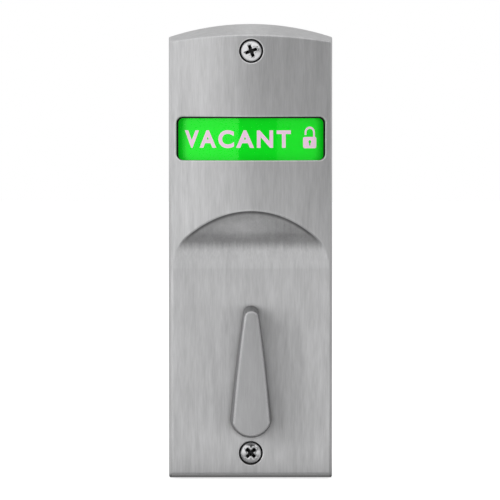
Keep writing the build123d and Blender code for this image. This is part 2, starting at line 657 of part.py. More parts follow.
def gear_face(count, first_tooth):
    """Spur gear's outline with one tooth centred at first_tooth degrees."""
    pitch_r = GEAR_MODULE * count / 2
    tip_r = pitch_r + ADDENDUM
    root_r = pitch_r - DEDENDUM
    base_r = max(pitch_r * math.cos(math.radians(PRESSURE_ANGLE)), root_r + ROOT_STEP)
    middle_r = (base_r + tip_r) / 2

    def at(radius, angle):
        return Vector(radius * math.cos(angle), radius * math.sin(angle))

    edges = []
    pitch_angle = 2 * math.pi / count
    base_half = tooth_half_angle(count, base_r)
    middle_half = tooth_half_angle(count, middle_r)
    tip_half = tooth_half_angle(count, tip_r)
    for tooth in range(count):
        centre = math.radians(first_tooth) + tooth * pitch_angle
        following = centre + pitch_angle
        edges += [
            Edge.make_line(at(root_r, centre - base_half), at(base_r, centre - base_half)),
            Edge.make_three_point_arc(
                at(base_r, centre - base_half),
                at(middle_r, centre - middle_half),
                at(tip_r, centre - tip_half),
            ),
            Edge.make_three_point_arc(
                at(tip_r, centre - tip_half),
                at(tip_r, centre),
                at(tip_r, centre + tip_half),
            ),
            Edge.make_three_point_arc(
                at(tip_r, centre + tip_half),
                at(middle_r, centre + middle_half),
                at(base_r, centre + base_half),
            ),
            Edge.make_line(at(base_r, centre + base_half), at(root_r, centre + base_half)),
            Edge.make_three_point_arc(
                at(root_r, centre + base_half),
                at(root_r, centre + pitch_angle / 2),
                at(root_r, following - base_half),
            ),
        ]
    return Sketch() + Face(Wire(edges))


def sector_edges():
    """Angles of the sector's two straight edges at rest, half a space beyond its outer teeth."""
    pitch = 360 / SECTOR_COUNT
    spare = (SECTOR_USED - 1) * pitch - TURN_ANGLE
    low = 90 - spare / 2 - pitch / 2
    return low, low + SECTOR_USED * pitch


def sector_gear():
    """Toothed sector on the shaft. Its teeth reach from the idler round to the side it turns from."""
    low, high = sector_edges()
    far = 2 * SECTOR_R
    steps = 4
    angles = [math.radians(low + (high - low) * i / steps) for i in range(steps + 1)]
    pie = outline((0, 0), *[(far * math.cos(a), far * math.sin(a)) for a in angles])
    face = gear_face(SECTOR_COUNT, 90) & pie
    face += Circle(SECTOR_HUB_R)
    flats = Rectangle(2 * (DRIVE_FLAT + FIT_CLEARANCE), 4 * DRIVE_R)
    face -= Circle(DRIVE_R + FIT_CLEARANCE) & flats
    return plate(face, GEAR_DEPTH, GEAR_FRONT)


def stop_pin_places():
    """Centres of the two pins that the sector's edges meet at the ends of its turn."""
    low, high = sector_edges()
    beyond = math.degrees(math.asin((STOP_PIN_R + STOP_CLEARANCE) / STOP_PIN_ORBIT))
    angles = (math.radians(high + beyond), math.radians(low - TURN_ANGLE - beyond))
    return [(STOP_PIN_ORBIT * math.cos(a), STOP_PIN_ORBIT * math.sin(a)) for a in angles]


def stop_pins():
    return [disc(STOP_PIN_R, 0, GEAR_FRONT + STOP_PIN_PROUD, x, z) for x, z in stop_pin_places()]


def idler_gear():
    """Idler between the sector and the rack, lightened by a ring of holes."""
    low_gap = 270 + 180 / IDLER_COUNT
    face = gear_face(IDLER_COUNT, low_gap) - Circle(POST_R + RUNNING_CLEARANCE)
    for step in range(IDLER_HOLES):
        face -= Rot(0, 0, 360 * (step + 0.5) / IDLER_HOLES) * Pos(IDLER_HOLE_ORBIT, 0) * Circle(IDLER_HOLE_R)
    return plate(Pos(0, IDLER_Z) * face, GEAR_DEPTH, GEAR_FRONT)


def idler_post():
    """Shouldered post riveted to the back plate."""
    top = GEAR_FRONT + POST_HEAD
    post = disc(POST_COLLAR_R, PLATE_THICK, GEAR_DEPTH - RUNNING_CLEARANCE, z=IDLER_Z)
    post += disc(POST_R, PLATE_THICK, top, z=IDLER_Z) + disc(POST_RIVET_R, 0, PLATE_THICK, z=IDLER_Z)
    groove_back = idler_clip_depth() - RUNNING_CLEARANCE / 2
    groove = disc(POST_R, groove_back, groove_back + CLIP_THICK + RUNNING_CLEARANCE, z=IDLER_Z)
    return post - (groove - disc(POST_RIVET_R, 0, CROWN_DEPTH, z=IDLER_Z))


def idler_clip_depth():
    return GEAR_FRONT + 2 * RUNNING_CLEARANCE + RUNNING_CLEARANCE / 2


def idler_clip():
    return split_ring(POST_RIVET_R, CLIP_WIDTH, CLIP_THICK, idler_clip_depth(), CLIP_GAP, z=IDLER_Z)


def rack_teeth():
    """Straight-sided teeth that point at the idler, with a space level with its centre at rest."""
    slant = math.tan(math.radians(PRESSURE_ANGLE))
    half = RACK_PITCH / 4 - TOOTH_THINNING / 2
    above = 2
    below = math.ceil(TRAVEL / RACK_PITCH) + 2
    teeth = Sketch()
    for step in range(-below, above):
        z = IDLER_Z + (step + 0.5) * RACK_PITCH
        tip = half - ADDENDUM * slant
        root = half + DEDENDUM * slant
        teeth += outline(
            (IDLER_R - ADDENDUM, z - tip),
            (IDLER_R - ADDENDUM, z + tip),
            (IDLER_R + DEDENDUM, z + root),
            (IDLER_R + DEDENDUM + LINK_ROOT_LAP, z + root),
            (IDLER_R + DEDENDUM + LINK_ROOT_LAP, z - root),
            (IDLER_R + DEDENDUM, z - root),
        )
    low = IDLER_Z - below * RACK_PITCH
    return teeth, low


def rack_link():
    """Steel link: a rack at the side of the idler, an arm past it and a yoke behind the flag."""
    teeth, low = rack_teeth()
    inner = IDLER_R + DEDENDUM
    outer = inner + LINK_ARM_WIDTH
    neck = LINK_NECK_X
    bend_high = RAIL_LOW_Z - TRAVEL - RAIL_OVERRUN
    bend_low = bend_high - (inner - neck)
    arm = outline(
        (inner, low),
        (outer, low),
        (outer, bend_low),
        (neck + LINK_ARM_WIDTH, bend_high),
        (neck + LINK_ARM_WIDTH, YOKE_LOW_Z + YOKE_CORNER_R),
        (neck, YOKE_LOW_Z + YOKE_CORNER_R),
        (neck, bend_high),
        (inner, bend_low),
    )
    middle = (YOKE_LOW_Z + YOKE_HIGH_Z) / 2
    height = YOKE_HIGH_Z - YOKE_LOW_Z
    yoke = Pos(0, middle) * RectangleRounded(YOKE_WIDTH, height, YOKE_CORNER_R)
    opening = RectangleRounded(YOKE_HOLE_WIDTH, height - 2 * YOKE_HOLE_INSET, YOKE_HOLE_CORNER_R)
    yoke -= Pos(0, middle) * opening
    face = arm + yoke + teeth
    for x, z in link_screw_places():
        face -= Pos(x, z) * Circle(LINK_SCREW_R + LOOSE_CLEARANCE)
    return plate(face, LINK_DEPTH, LINK_FRONT)


def link_screw_places():
    heights = (YOKE_LOW_Z + LINK_SCREW_INSET, YOKE_HIGH_Z - LINK_SCREW_INSET)
    return [(x, z) for x in (-LINK_SCREW_X, LINK_SCREW_X) for z in heights]


def link_screws():
    """Pan-headed screws from behind the yoke into the flag's bosses."""
    screws = []
    for x, z in link_screw_places():
        head = disc(LINK_HEAD_R, LINK_DEPTH - LINK_HEAD_HEIGHT, LINK_DEPTH, x, z)
        head = fillet(head.edges().sort_by(Axis.Y)[-1], LINK_HEAD_ROUND)
        slot_front = LINK_DEPTH - LINK_HEAD_HEIGHT + LINK_SLOT_DEPTH
        slot_low, slot_high = z - LINK_SLOT_HALF, z + LINK_SLOT_HALF
        slot = block(x - LINK_HEAD_R, x + LINK_HEAD_R, 0, slot_front, slot_low, slot_high)
        screws.append(head - slot + disc(LINK_SCREW_R, LINK_DEPTH, LINK_FRONT + LINK_SCREW_BITE, x, z))
    return screws


def flag_carrier():
    """Moulded flag: a plate curved like the lens, with ribs and screw bosses behind it."""
    low = WAITING_Z - LABEL_HEIGHT / 2
    high = SHOWN_Z + LABEL_HEIGHT / 2
    carrier = crown_band(FLAG_FRONT_R, FLAG_BACK_R, FLAG_WIDTH, low, high)
    plate_side = block(-FLAG_WIDTH, FLAG_WIDTH, 0, PLATE_THICK + FLAG_GAP, low, high)
    carrier -= plate_side
    inside = upright(Pos(0, CROWN_CENTRE_Y) * Circle(FLAG_BACK_R + FLAG_THICK / 2), low, high)
    ribs = Part()
    for x in (-RIB_OUTER_X, RIB_OUTER_X - RIB_THICK):
        ribs += block(x, x + RIB_THICK, LINK_FRONT, CROWN_DEPTH, YOKE_LOW_Z, YOKE_HIGH_Z)
    for x, z in link_screw_places():
        ribs += disc(LINK_BOSS_R, LINK_FRONT, CROWN_DEPTH, x, z)
    carrier += ribs & inside
    for x, z in link_screw_places():
        carrier -= disc(LINK_SCREW_R, LINK_FRONT, LINK_FRONT + LINK_SCREW_BITE + PILOT_SPARE, x, z)
    return carrier


def label(centre_z):
    """Coloured film on the flag."""
    low = centre_z - LABEL_HEIGHT / 2
    return crown_band(LABEL_FRONT_R, FLAG_FRONT_R, LABEL_WIDTH, low, low + LABEL_HEIGHT)


def rail_section(groove_x):
    """C-shaped section open towards the centre, for an edge that runs at groove_x."""
    wall_x = groove_x + RAIL_CLEARANCE
    lip_x = wall_x - RAIL_LIP - RAIL_CLEARANCE
    outer_x = wall_x + RAIL_WALL
    groove_back = LINK_DEPTH - RAIL_CLEARANCE
    groove_front = LINK_FRONT + RAIL_CLEARANCE
    return outline(
        (lip_x, -PLATE_THICK),
        (outer_x, -PLATE_THICK),
        (outer_x, -RAIL_FRONT),
        (lip_x, -RAIL_FRONT),
        (lip_x, -groove_front),
        (wall_x, -groove_front),
        (wall_x, -groove_back),
        (lip_x, -groove_back),
    )


def rack_back_x():
    """Where the rack's plain edge runs."""
    return IDLER_R + DEDENDUM + LINK_ARM_WIDTH


def rail_screw_lines():
    """Each rail's screw line: its x, and the heights of its two screws."""
    yoke_x = YOKE_WIDTH / 2 + RAIL_CLEARANCE + RAIL_WALL / 2
    rack_x = rack_back_x() + RAIL_CLEARANCE + RAIL_WALL / 2
    yoke_pair = (RAIL_LOW_Z + RAIL_SCREW_INSET, RAIL_HIGH_Z - RAIL_SCREW_INSET)
    rack_reach = RACK_GUIDE_LENGTH / 2 - RAIL_SCREW_INSET / 2
    rack_pair = (IDLER_Z - rack_reach, IDLER_Z + rack_reach)
    return [(-yoke_x, yoke_pair), (yoke_x, yoke_pair), (rack_x, rack_pair)]


def rail_screw_places():
    return [(x, z) for x, heights in rail_screw_lines() for z in heights]


def drilled_rail(rail):
    """Rail with its blind tapped holes, opened from the back."""
    for x, z in rail_screw_places():
        rail -= disc(RAIL_SCREW_R, PLATE_THICK, LINK_FRONT + LOOSE_CLEARANCE, x, z)
    return rail


def guide_rail_right():
    return drilled_rail(upright(rail_section(YOKE_WIDTH / 2), RAIL_LOW_Z, RAIL_HIGH_Z))


def guide_rail_left():
    return drilled_rail(mirror(upright(rail_section(YOKE_WIDTH / 2), RAIL_LOW_Z, RAIL_HIGH_Z), Plane.YZ))


def rack_guide():
    low = IDLER_Z - RACK_GUIDE_LENGTH / 2
    return drilled_rail(upright(rail_section(rack_back_x()), low, low + RACK_GUIDE_LENGTH))


def rail_screws():
    return [flat_screw(RAIL_SCREW_R, RAIL_SCREW_HEAD_R, LINK_FRONT, x, z) for x, z in rail_screw_places()]


def build():
    """Every piece by the name of its node."""
    return {
        "escutcheon_cover": escutcheon_cover(),
        "window_gasket": window_gasket(),
        "window_lens": window_lens(),
        "back_plate": back_plate(),
        "back_plate_screws": back_plate_screws(),
        "mounting_screws": mounting_screws(),
        "front_bush": front_bush(),
        "rear_bush": rear_bush(),
        "turn_lever": turn_lever(),
        "lever_set_screw": lever_set_screw(),
        "turn_shaft": turn_shaft(),
        "shaft_retaining_ring": shaft_retaining_ring(),
        "thrust_washer": thrust_washer(),
        "curved_washer": curved_washer(),
        "spindle_tailpiece": spindle_tailpiece(),
        "tailpiece_pin": tailpiece_pin(),
        "sector_gear": sector_gear(),
        "stop_pins": stop_pins(),
        "idler_gear": idler_gear(),
        "idler_post": idler_post(),
        "idler_clip": idler_clip(),
        "rack_link": rack_link(),
        "link_screws": link_screws(),
        "flag_carrier": flag_carrier(),
        "vacant_label": label(SHOWN_Z),
        "occupied_label": label(WAITING_Z),
        "guide_rail_left": guide_rail_left(),
        "guide_rail_right": guide_rail_right(),
        "rack_guide": rack_guide(),
        "rail_screws": rail_screws(),
    }


os.makedirs("parts", exist_ok=True)
for name, piece in build().items():
    if isinstance(piece, list):
        piece = Compound(children=piece)
    export_step(piece, f"parts/{name}.step")
print(f"turn {TURN_ANGLE:.0f} degrees, idler {-TURN_ANGLE * SECTOR_COUNT / IDLER_COUNT:.1f} degrees")
print(f"flag travel {TRAVEL:.4f} mm, flag ratio {SECTOR_R:.3f} mm per radian, idler axis at z {IDLER_Z:.2f}")
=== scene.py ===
"""Look of the door occupancy indicator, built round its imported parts. Metres, +Z up, front towards -Y."""

import math

import bmesh
import bpy
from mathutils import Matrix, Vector


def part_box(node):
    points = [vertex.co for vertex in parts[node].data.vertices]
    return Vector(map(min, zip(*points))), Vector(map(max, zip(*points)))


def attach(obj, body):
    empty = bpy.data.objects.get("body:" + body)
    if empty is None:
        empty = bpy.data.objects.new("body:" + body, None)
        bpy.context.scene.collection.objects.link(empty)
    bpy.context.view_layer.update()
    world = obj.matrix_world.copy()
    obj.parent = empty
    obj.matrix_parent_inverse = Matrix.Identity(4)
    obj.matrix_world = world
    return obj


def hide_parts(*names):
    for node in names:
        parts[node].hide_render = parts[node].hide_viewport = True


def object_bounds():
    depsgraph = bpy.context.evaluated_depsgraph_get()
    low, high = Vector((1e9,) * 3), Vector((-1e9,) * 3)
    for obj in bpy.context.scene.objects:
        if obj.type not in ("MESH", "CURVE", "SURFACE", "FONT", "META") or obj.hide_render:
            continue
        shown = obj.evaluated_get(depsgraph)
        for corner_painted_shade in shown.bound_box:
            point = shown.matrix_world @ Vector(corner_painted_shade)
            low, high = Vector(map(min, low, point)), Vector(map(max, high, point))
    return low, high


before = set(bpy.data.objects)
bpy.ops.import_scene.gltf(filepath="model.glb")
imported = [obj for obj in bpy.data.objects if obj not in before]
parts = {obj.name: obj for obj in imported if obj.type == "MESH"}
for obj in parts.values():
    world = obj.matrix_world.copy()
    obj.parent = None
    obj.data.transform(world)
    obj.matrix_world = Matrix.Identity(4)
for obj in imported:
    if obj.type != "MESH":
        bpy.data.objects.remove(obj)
cad_low, cad_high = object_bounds()

# Escutcheon cover: investment-cast stainless steel, 2 mm thick, linished with a belt that runs up and down.
# The belt leaves long fine strokes and rolls over the sharp edges; a painted highlight makes them brighter.
# Four flat-headed screws draw it down on to its back plate.
STEEL_COLOUR = (0.49, 0.49, 0.495, 1.0)
STEEL_METALLIC = 0.80
BELT_STROKES = (3000.0, 3000.0, 220.0)
BROAD_STROKES = (0.16, 0.16, 0.3)
BROAD_SHARE = 0.45
FINE_SHARE = 0.55
STROKE_SWING = 4.0
STROKE_POLISH = 0.05
STROKE_DEPTH = 0.000002
NOISE_MEAN = 0.5
# The edge mask, times a gain, lightens the colour of rolled edges as a painted highlight.
EDGE_ROLL = 0.0006
EDGE_GAIN = 6.0
EDGE_POLISH = 0.06
# Painted shade darkens inside corners within a reach, and narrow gaps almost to black.
PAINTED_SHADE_REACH = 0.0016
PAINTED_GAP_DARKNESS = 0.95
GRAIN_RESULTS = [("Colour", "Color"), ("Roughness", "Float"), ("Height", "Float")]


def shader_group(name, inputs, outputs):
    """Empty shader node group with its sockets, and the ends that its nodes link to."""
    tree = bpy.data.node_groups.new(name, "ShaderNodeTree")
    for socket_name, kind, value in inputs:
        socket = tree.interface.new_socket(socket_name, in_out="INPUT", socket_type="NodeSocket" + kind)
        socket.default_value = value
    for socket_name, kind in outputs:
        tree.interface.new_socket(socket_name, in_out="OUTPUT", socket_type="NodeSocket" + kind)
    return tree, tree.nodes.new("NodeGroupInput"), tree.nodes.new("NodeGroupOutput")


def put(tree, socket, value):
    """Sets a socket to a value, or links it from an output."""
    if isinstance(value, bpy.types.NodeSocket):
        tree.links.new(value, socket)
    else:
        socket.default_value = value


def feed(tree, made, **values):
    """Puts values or outputs on a node's inputs of these names, which have _ for a space."""
    for name, value in values.items():
        put(tree, made.inputs[name.replace("_", " ")], value)


def node(tree, kind, *sources, **settings):
    """Node with its settings, whose inputs in order are values, or outputs to link from."""
    made = tree.nodes.new("ShaderNode" + kind)
    for key, value in settings.items():
        setattr(made, key, value)
    for socket, source in zip(made.inputs, sources):
        if source is not None:
            put(tree, socket, source)
    return made


def placed(tree, group, **values):
    """Results of a group placed in a material, with its own values or outputs to link from."""
    made = node(tree, "Group", node_tree=group)
    feed(tree, made, **values)
    return made.outputs


def reckon(tree, operation, *sources):
    """Result of one sum on numbers."""
    return node(tree, "Math", *sources, operation=operation).outputs[0]


def reckon_vector(tree, operation, *sources):
    """Result of one sum on vectors."""
    return node(tree, "VectorMath", *sources, operation=operation).outputs[0]


def product(tree, first, *others):
    """Product of two or more numbers."""
    for other in others:
        first = reckon(tree, "MULTIPLY", first, other)
    return first


def remainder(tree, share):
    """What a share leaves of 1."""
    return reckon(tree, "SUBTRACT", 1.0, share)


def around_one(tree, source, gain):
    """Factor that is 1 where the source is 0, and changed by the gain where it is 1."""
    return reckon(tree, "MULTIPLY_ADD", source, gain, 1.0)


def between(tree, value, start, end, kind="SMOOTHSTEP"):
    """Rise from 0 at the start value to 1 at the end value, which holds beyond both."""
    return node(tree, "MapRange", value, start, end, interpolation_type=kind).outputs[0]


def from_axis(tree, a, b):
    """Distance from an axis, by two offsets from it at right angles."""
    return reckon(tree, "SQRT", reckon(tree, "MULTIPLY_ADD", a, a, product(tree, b, b)))


def noise(tree, place, scale, detail, roughness):
    """Smooth random value at each place."""
    return node(tree, "TexNoise", place, None, scale, detail, roughness).outputs[0]


def on_part(tree):
    """Place on the part, in metres."""
    return node(tree, "TexCoord").outputs["Object"]


def in_world(tree, direction):
    """Direction of the part itself, as it stands in the world."""
    return node(
        tree, "VectorTransform", direction, vector_type="VECTOR", convert_from="OBJECT", convert_to="WORLD"
    ).outputs[0]


def mixed_colour(tree, blend, first, second, factor):
    """Colour mixed from two, by a way of blending and a factor."""
    mixed = node(tree, "Mix", data_type="RGBA", blend_type=blend)
    feed(tree, mixed, Factor=factor)
    for socket, colour in zip([s for s in mixed.inputs if s.type == "RGBA"], (first, second)):
        put(tree, socket, colour)
    return next(s for s in mixed.outputs if s.type == "RGBA")


def tint(tree, colour, factor):
    """Colour made lighter or darker by a factor."""
    return mixed_colour(tree, "MULTIPLY", colour, factor, 1.0)


def hand_out_grain(tree, given, result, swing, rough_from, rough_by, height):
    """Links a grain's results: the given colour varied by a swing about 0, a roughness and a height."""
    varied = tint(tree, given.outputs["Colour"], around_one(tree, swing, given.outputs["Contrast"]))
    rougher = reckon(tree, "MULTIPLY_ADD", rough_from, rough_by, given.outputs["Roughness"])
    feed(tree, result, Colour=varied, Roughness=rougher, Height=height)


def brushed_grain_group():
    """Fine strokes along one direction. Strokes are the noise cells that a metre holds on x, y and z."""
    tree, given, result = shader_group(
        "brushed_grain",
        [("Colour", "Color", STEEL_COLOUR), ("Roughness", "Float", 0.3),
         ("Strokes", "Vector", BELT_STROKES), ("Contrast", "Float", 0.1)],
        GRAIN_RESULTS,
    )
    cells = reckon_vector(tree, "MULTIPLY", on_part(tree), given.outputs["Strokes"])
    fine = noise(tree, cells, scale=1.0, detail=3.0, roughness=0.62)
    broad_cells = reckon_vector(tree, "MULTIPLY", cells, BROAD_STROKES)
    broad = noise(tree, broad_cells, scale=1.0, detail=2.0, roughness=0.5)
    blended = reckon(tree, "MULTIPLY_ADD", broad, BROAD_SHARE, product(tree, fine, FINE_SHARE))
    swing = product(tree, reckon(tree, "SUBTRACT", blended, NOISE_MEAN), STROKE_SWING)
    hand_out_grain(tree, given, result, swing, rough_from=swing, rough_by=-STROKE_POLISH, height=blended)
    return tree


def edge_roll_group():
    """Edges rounded within a radius by polishing and handling: their normal, and a mask of them for painted
    highlights.
    """
    tree, given, result = shader_group(
        "edge_roll", [("Radius", "Float", EDGE_ROLL), ("Gain", "Float", EDGE_GAIN)],
        [("Mask", "Float"), ("Normal", "Vector")],
    )
    rounded = node(tree, "Bevel", given.outputs["Radius"], samples=6).outputs[0]
    plain = node(tree, "NewGeometry").outputs["Normal"]
    agreement = node(tree, "VectorMath", rounded, plain, operation="DOT_PRODUCT").outputs["Value"]
    turned = product(tree, remainder(tree, agreement), given.outputs["Gain"])
    feed(tree, result, Mask=node(tree, "Clamp", turned).outputs[0], Normal=rounded)
    return tree


def painted_shade_masks_group(name, own_faces_only, gap_from, gap_to):
    """Masks of inside corners and of narrow gaps, by how much open sky they lose, for painted shade."""
    tree, given, result = shader_group(
        name, [("Reach", "Float", PAINTED_SHADE_REACH)], [("Corner", "Float"), ("Gap", "Float")]
    )
    reach = given.outputs["Reach"]
    open_sky = node(tree, "AmbientOcclusion", None, reach, samples=8, only_local=own_faces_only)
    hidden = remainder(tree, open_sky.outputs["AO"])
    corner_painted_shade = node(tree, "Clamp", hidden).outputs[0]
    feed(tree, result, Corner=corner_painted_shade, Gap=between(tree, hidden, gap_from, gap_to))
    return tree


def bare_material(name, **fixed):
    """Material with one principled shader, whose steady values are set on its own sockets."""
    material = bpy.data.materials.new(name)
    material.use_nodes = True
    tree = material.node_tree
    shader = tree.nodes["Principled BSDF"]
    feed(tree, shader, **fixed)
    return material, tree, shader


def relief(tree, shader, height, depth, rounded=None):
    """Raises the surface by a height worth this depth in metres, over a rounded normal if one is given."""
    bump = node(tree, "Bump")
    feed(tree, bump, Strength=1.0, Distance=depth, Height=height)
    if rounded is not None:
        feed(tree, bump, Normal=rounded)
    feed(tree, shader, Normal=bump.outputs[0])


def dress(material, *names):
    """Gives a material to the parts of these names."""
    for name in names:
        parts[name].material_slots[0].material = material


BRUSHED_GRAIN = brushed_grain_group()
EDGE_ROLL_MASK = edge_roll_group()
PAINTED_CORNER_SHADE = painted_shade_masks_group("corner_shade", own_faces_only=False, gap_from=0.48, gap_to=0.74)


def painted_gap_shade(tree, reach, corner_painted_share, group=PAINTED_CORNER_SHADE):
    """Factor of painted shade that darkens inside corners a little and narrow gaps almost to black."""
    hidden = placed(tree, group, Reach=reach)
    corner_painted_shade = around_one(tree, hidden["Corner"], -corner_painted_share)
    return product(tree, corner_painted_shade, around_one(tree, hidden["Gap"], -PAINTED_GAP_DARKNESS))


def across_strokes(tree, shader, strokes):
    """Turns the tangent across the strokes, which run along the axis with the fewest noise cells."""
    along = [0.0, 0.0, 0.0]
    along[strokes.index(min(strokes))] = 1.0
    outward = node(tree, "NewGeometry").outputs["Normal"]
    feed(tree, shader, Tangent=reckon_vector(tree, "CROSS_PRODUCT", in_world(tree, along), outward))


def brushed_steel(name, colour, roughness, strokes, contrast, anisotropy, wear_and_highlight=0.45, corner_painted_shade=0.3,
                  reach=PAINTED_SHADE_REACH, roll=EDGE_ROLL, grazing_shade_tint=1.0, own_touch=None):
    """Brushed metal with painted highlights on rolled edges, painted shade inside corners, and its own touch
    if given.
    """
    material, tree, shader = bare_material(
        name, Metallic=STEEL_METALLIC, Anisotropic=anisotropy,
        Specular_Tint=(grazing_shade_tint, grazing_shade_tint, grazing_shade_tint, 1.0),
    )
    grain = placed(
        tree, BRUSHED_GRAIN, Colour=colour, Roughness=roughness, Strokes=strokes, Contrast=contrast
    )
    edges = placed(tree, EDGE_ROLL_MASK, Radius=roll)
    normal = edges["Normal"]
    shade = product(tree, around_one(tree, edges["Mask"], wear_and_highlight), painted_gap_shade(tree, reach, corner_painted_shade))
    if own_touch:
        normal, shade = own_touch(tree, normal, shade)
    smoother = reckon(tree, "MULTIPLY_ADD", edges["Mask"], -EDGE_POLISH, grain["Roughness"])
    feed(tree, shader, Base_Color=tint(tree, grain["Colour"], shade), Roughness=smoother)
    relief(tree, shader, grain["Height"], STROKE_DEPTH, normal)
    across_strokes(tree, shader, strokes)
    return material


# Painted dark reflections lie as lines on the scoop's ramp: under its top edge, the brow, at its foot, and
# at both ends, stronger on the right. Each comes or goes between two heights, two depths under the crown or
# two slopes.
CROWN_AXIS_Y = 0.0203
CROWN_RADIUS = 0.0378
RAMP_SLOPES = (-0.10, -0.20)
OVERHANG_SLOPES = (-0.25, -0.40)
UNDERSIDE_SLOPES = (-0.60, -0.68)
RAMP_FOOT = 0.42
FOOT_COMES_Z = (0.0514, 0.0551)
FOOT_GOES_Z = (0.0584, 0.0549)
RAMP_BROW = 0.49
BROW_COMES_Z = (0.0535, 0.0580)
BROW_EDGE = (0.00010, 0.00030)
BROW_CORE = (0.0011, 0.0004)
BROW_SPREAD = (0.0034, 0.0008)
SPREAD_SHARE = 0.50
RAMP_ENDS = 0.27
ENDS_COME_Z = (0.0548, 0.0572)
ENDS_MIDDLE_X = -0.003
ENDS_HALF = 0.0125
RAGGED_CELLS = (1100.0, 0.0, 0.0)
RAGGED_RISE = 0.0032


def ramp_shade_group():
    """Factor that paints the ramp's dark lines of reflection, ragged where single strokes of the belt end.
    """
    tree, given, result = shader_group(
        "ramp_shade",
        [("Normal", "Vector", (0.0, 0.0, 0.0)), ("Foot", "Float", RAMP_FOOT), ("Brow", "Float", RAMP_BROW),
         ("Ends", "Float", RAMP_ENDS)],
        [("Factor", "Float")],
    )
    slope = node(tree, "SeparateXYZ", given.outputs["Normal"]).outputs[2]
    sloping = between(tree, slope, *RAMP_SLOPES, kind="LINEAR")
    overhang = between(tree, slope, *OVERHANG_SLOPES, kind="LINEAR")
    above_underside = remainder(tree, between(tree, slope, *UNDERSIDE_SLOPES, kind="LINEAR"))
    place = on_part(tree)
    x, y, z = node(tree, "SeparateXYZ", place).outputs
    ragged_cells = reckon_vector(tree, "MULTIPLY", place, RAGGED_CELLS)
    stroke_end = noise(tree, ragged_cells, scale=1.0, detail=3.0, roughness=0.6)
    ragged = reckon(tree, "MULTIPLY_ADD", reckon(tree, "SUBTRACT", stroke_end, NOISE_MEAN), RAGGED_RISE, z)
    foot_band = product(tree, between(tree, ragged, *FOOT_COMES_Z), between(tree, ragged, *FOOT_GOES_Z))
    foot = product(tree, foot_band, sloping, above_underside, given.outputs["Foot"])
    off_middle = reckon(tree, "ABSOLUTE", reckon(tree, "SUBTRACT", x, ENDS_MIDDLE_X))
    outer = between(tree, off_middle, 0.0, ENDS_HALF, kind="LINEAR")
    stroke_depth = product(tree, stroke_end, 1.0 / NOISE_MEAN)
    ends = product(
        tree, outer, between(tree, ragged, *ENDS_COME_Z), sloping, stroke_depth, given.outputs["Ends"]
    )
    radius = from_axis(tree, x, reckon(tree, "SUBTRACT", y, CROWN_AXIS_Y))
    sunk = reckon(tree, "SUBTRACT", CROWN_RADIUS, radius)
    spread = between(tree, sunk, *BROW_SPREAD)
    line = reckon(tree, "MULTIPLY_ADD", spread, SPREAD_SHARE, between(tree, sunk, *BROW_CORE))
    brow = product(
        tree, between(tree, sunk, *BROW_EDGE), line, overhang, given.outputs["Brow"],
        between(tree, z, *BROW_COMES_Z), above_underside,
    )
    deepest = reckon(tree, "MAXIMUM", brow, ends)
    feed(tree, result, Factor=product(tree, remainder(tree, foot), remainder(tree, deepest)))
    return tree


RAMP_SHADE = ramp_shade_group()


def with_painted_ramp_shade(tree, normal, shade):
    """Touch of the cover alone: the ramp's painted dark lines."""
    lines = placed(tree, RAMP_SHADE, Normal=normal, Foot=RAMP_FOOT, Brow=RAMP_BROW, Ends=RAMP_ENDS)
    return normal, product(tree, shade, lines["Factor"])


# The cover gets painted highlights on its edges, and painted shade in its corners, round the screw heads and
# beside the lever.
cover_steel = brushed_steel(
    "satin_stainless_cover", STEEL_COLOUR, roughness=0.36, strokes=BELT_STROKES, contrast=0.17,
    anisotropy=0.9, wear_and_highlight=0.85, corner_painted_shade=0.6, own_touch=with_painted_ramp_shade,
)
dress(cover_steel, "escutcheon_cover")

# Window: a clear polycarbonate pane, 1 mm thick and curved like the cover, bedded on a frame of black foam.
# The foam is closed-cell sheet, die-cut and stuck in the pocket behind the opening.
# A thin rim of it shows inside the opening, wider at the two ends.
PANE_COLOUR = (0.985, 0.99, 0.988, 1.0)
PANE_INDEX = 1.27
PANE_ROUGHNESS = 0.01
PANE_SMEAR = 0.02
FOAM_COLOUR = (0.006, 0.006, 0.0065, 1.0)
FOAM_CELLS = 5200.0
GRAIN_MEAN = 0.9
CLOUD_ROUGHNESS = 0.12

pane, pane_tree, pane_shader = bare_material(
    "clear_polycarbonate", Metallic=0.0, Base_Color=PANE_COLOUR, Transmission_Weight=1.0, IOR=PANE_INDEX
)
hairline = noise(pane_tree, on_part(pane_tree), scale=900.0, detail=2.0, roughness=0.5)
smear = reckon(pane_tree, "MULTIPLY_ADD", hairline, PANE_SMEAR, PANE_ROUGHNESS)
feed(pane_tree, pane_shader, Roughness=smear)
dress(pane, "window_lens")


def moulded_grain_group():
    """Fine even texture of moulded or foamed plastic, with cells of a given fineness."""
    tree, given, result = shader_group(
        "moulded_grain",
        [("Colour", "Color", FOAM_COLOUR), ("Roughness", "Float", 0.5), ("Cells", "Float", FOAM_CELLS),
         ("Contrast", "Float", 0.2)],
        GRAIN_RESULTS,
    )
    place = on_part(tree)
    cells = node(tree, "TexVoronoi", place, None, given.outputs["Cells"]).outputs["Distance"]
    cloud = noise(tree, place, scale=420.0, detail=3.0, roughness=0.6)
    swing = reckon(tree, "SUBTRACT", reckon(tree, "ADD", cells, cloud), GRAIN_MEAN)
    hand_out_grain(tree, given, result, swing, rough_from=cloud, rough_by=CLOUD_ROUGHNESS, height=cells)
    return tree


MOULDED_GRAIN = moulded_grain_group()


def moulded_plastic(name, colour, roughness, cells, contrast, depth):
    """Plastic or foam with a fine texture."""
    material, tree, shader = bare_material(name, Metallic=0.0)
    grain = placed(tree, MOULDED_GRAIN, Colour=colour, Roughness=roughness, Cells=cells, Contrast=contrast)
    feed(tree, shader, Base_Color=grain["Colour"], Roughness=grain["Roughness"])
    relief(tree, shader, grain["Height"], depth)
    return material


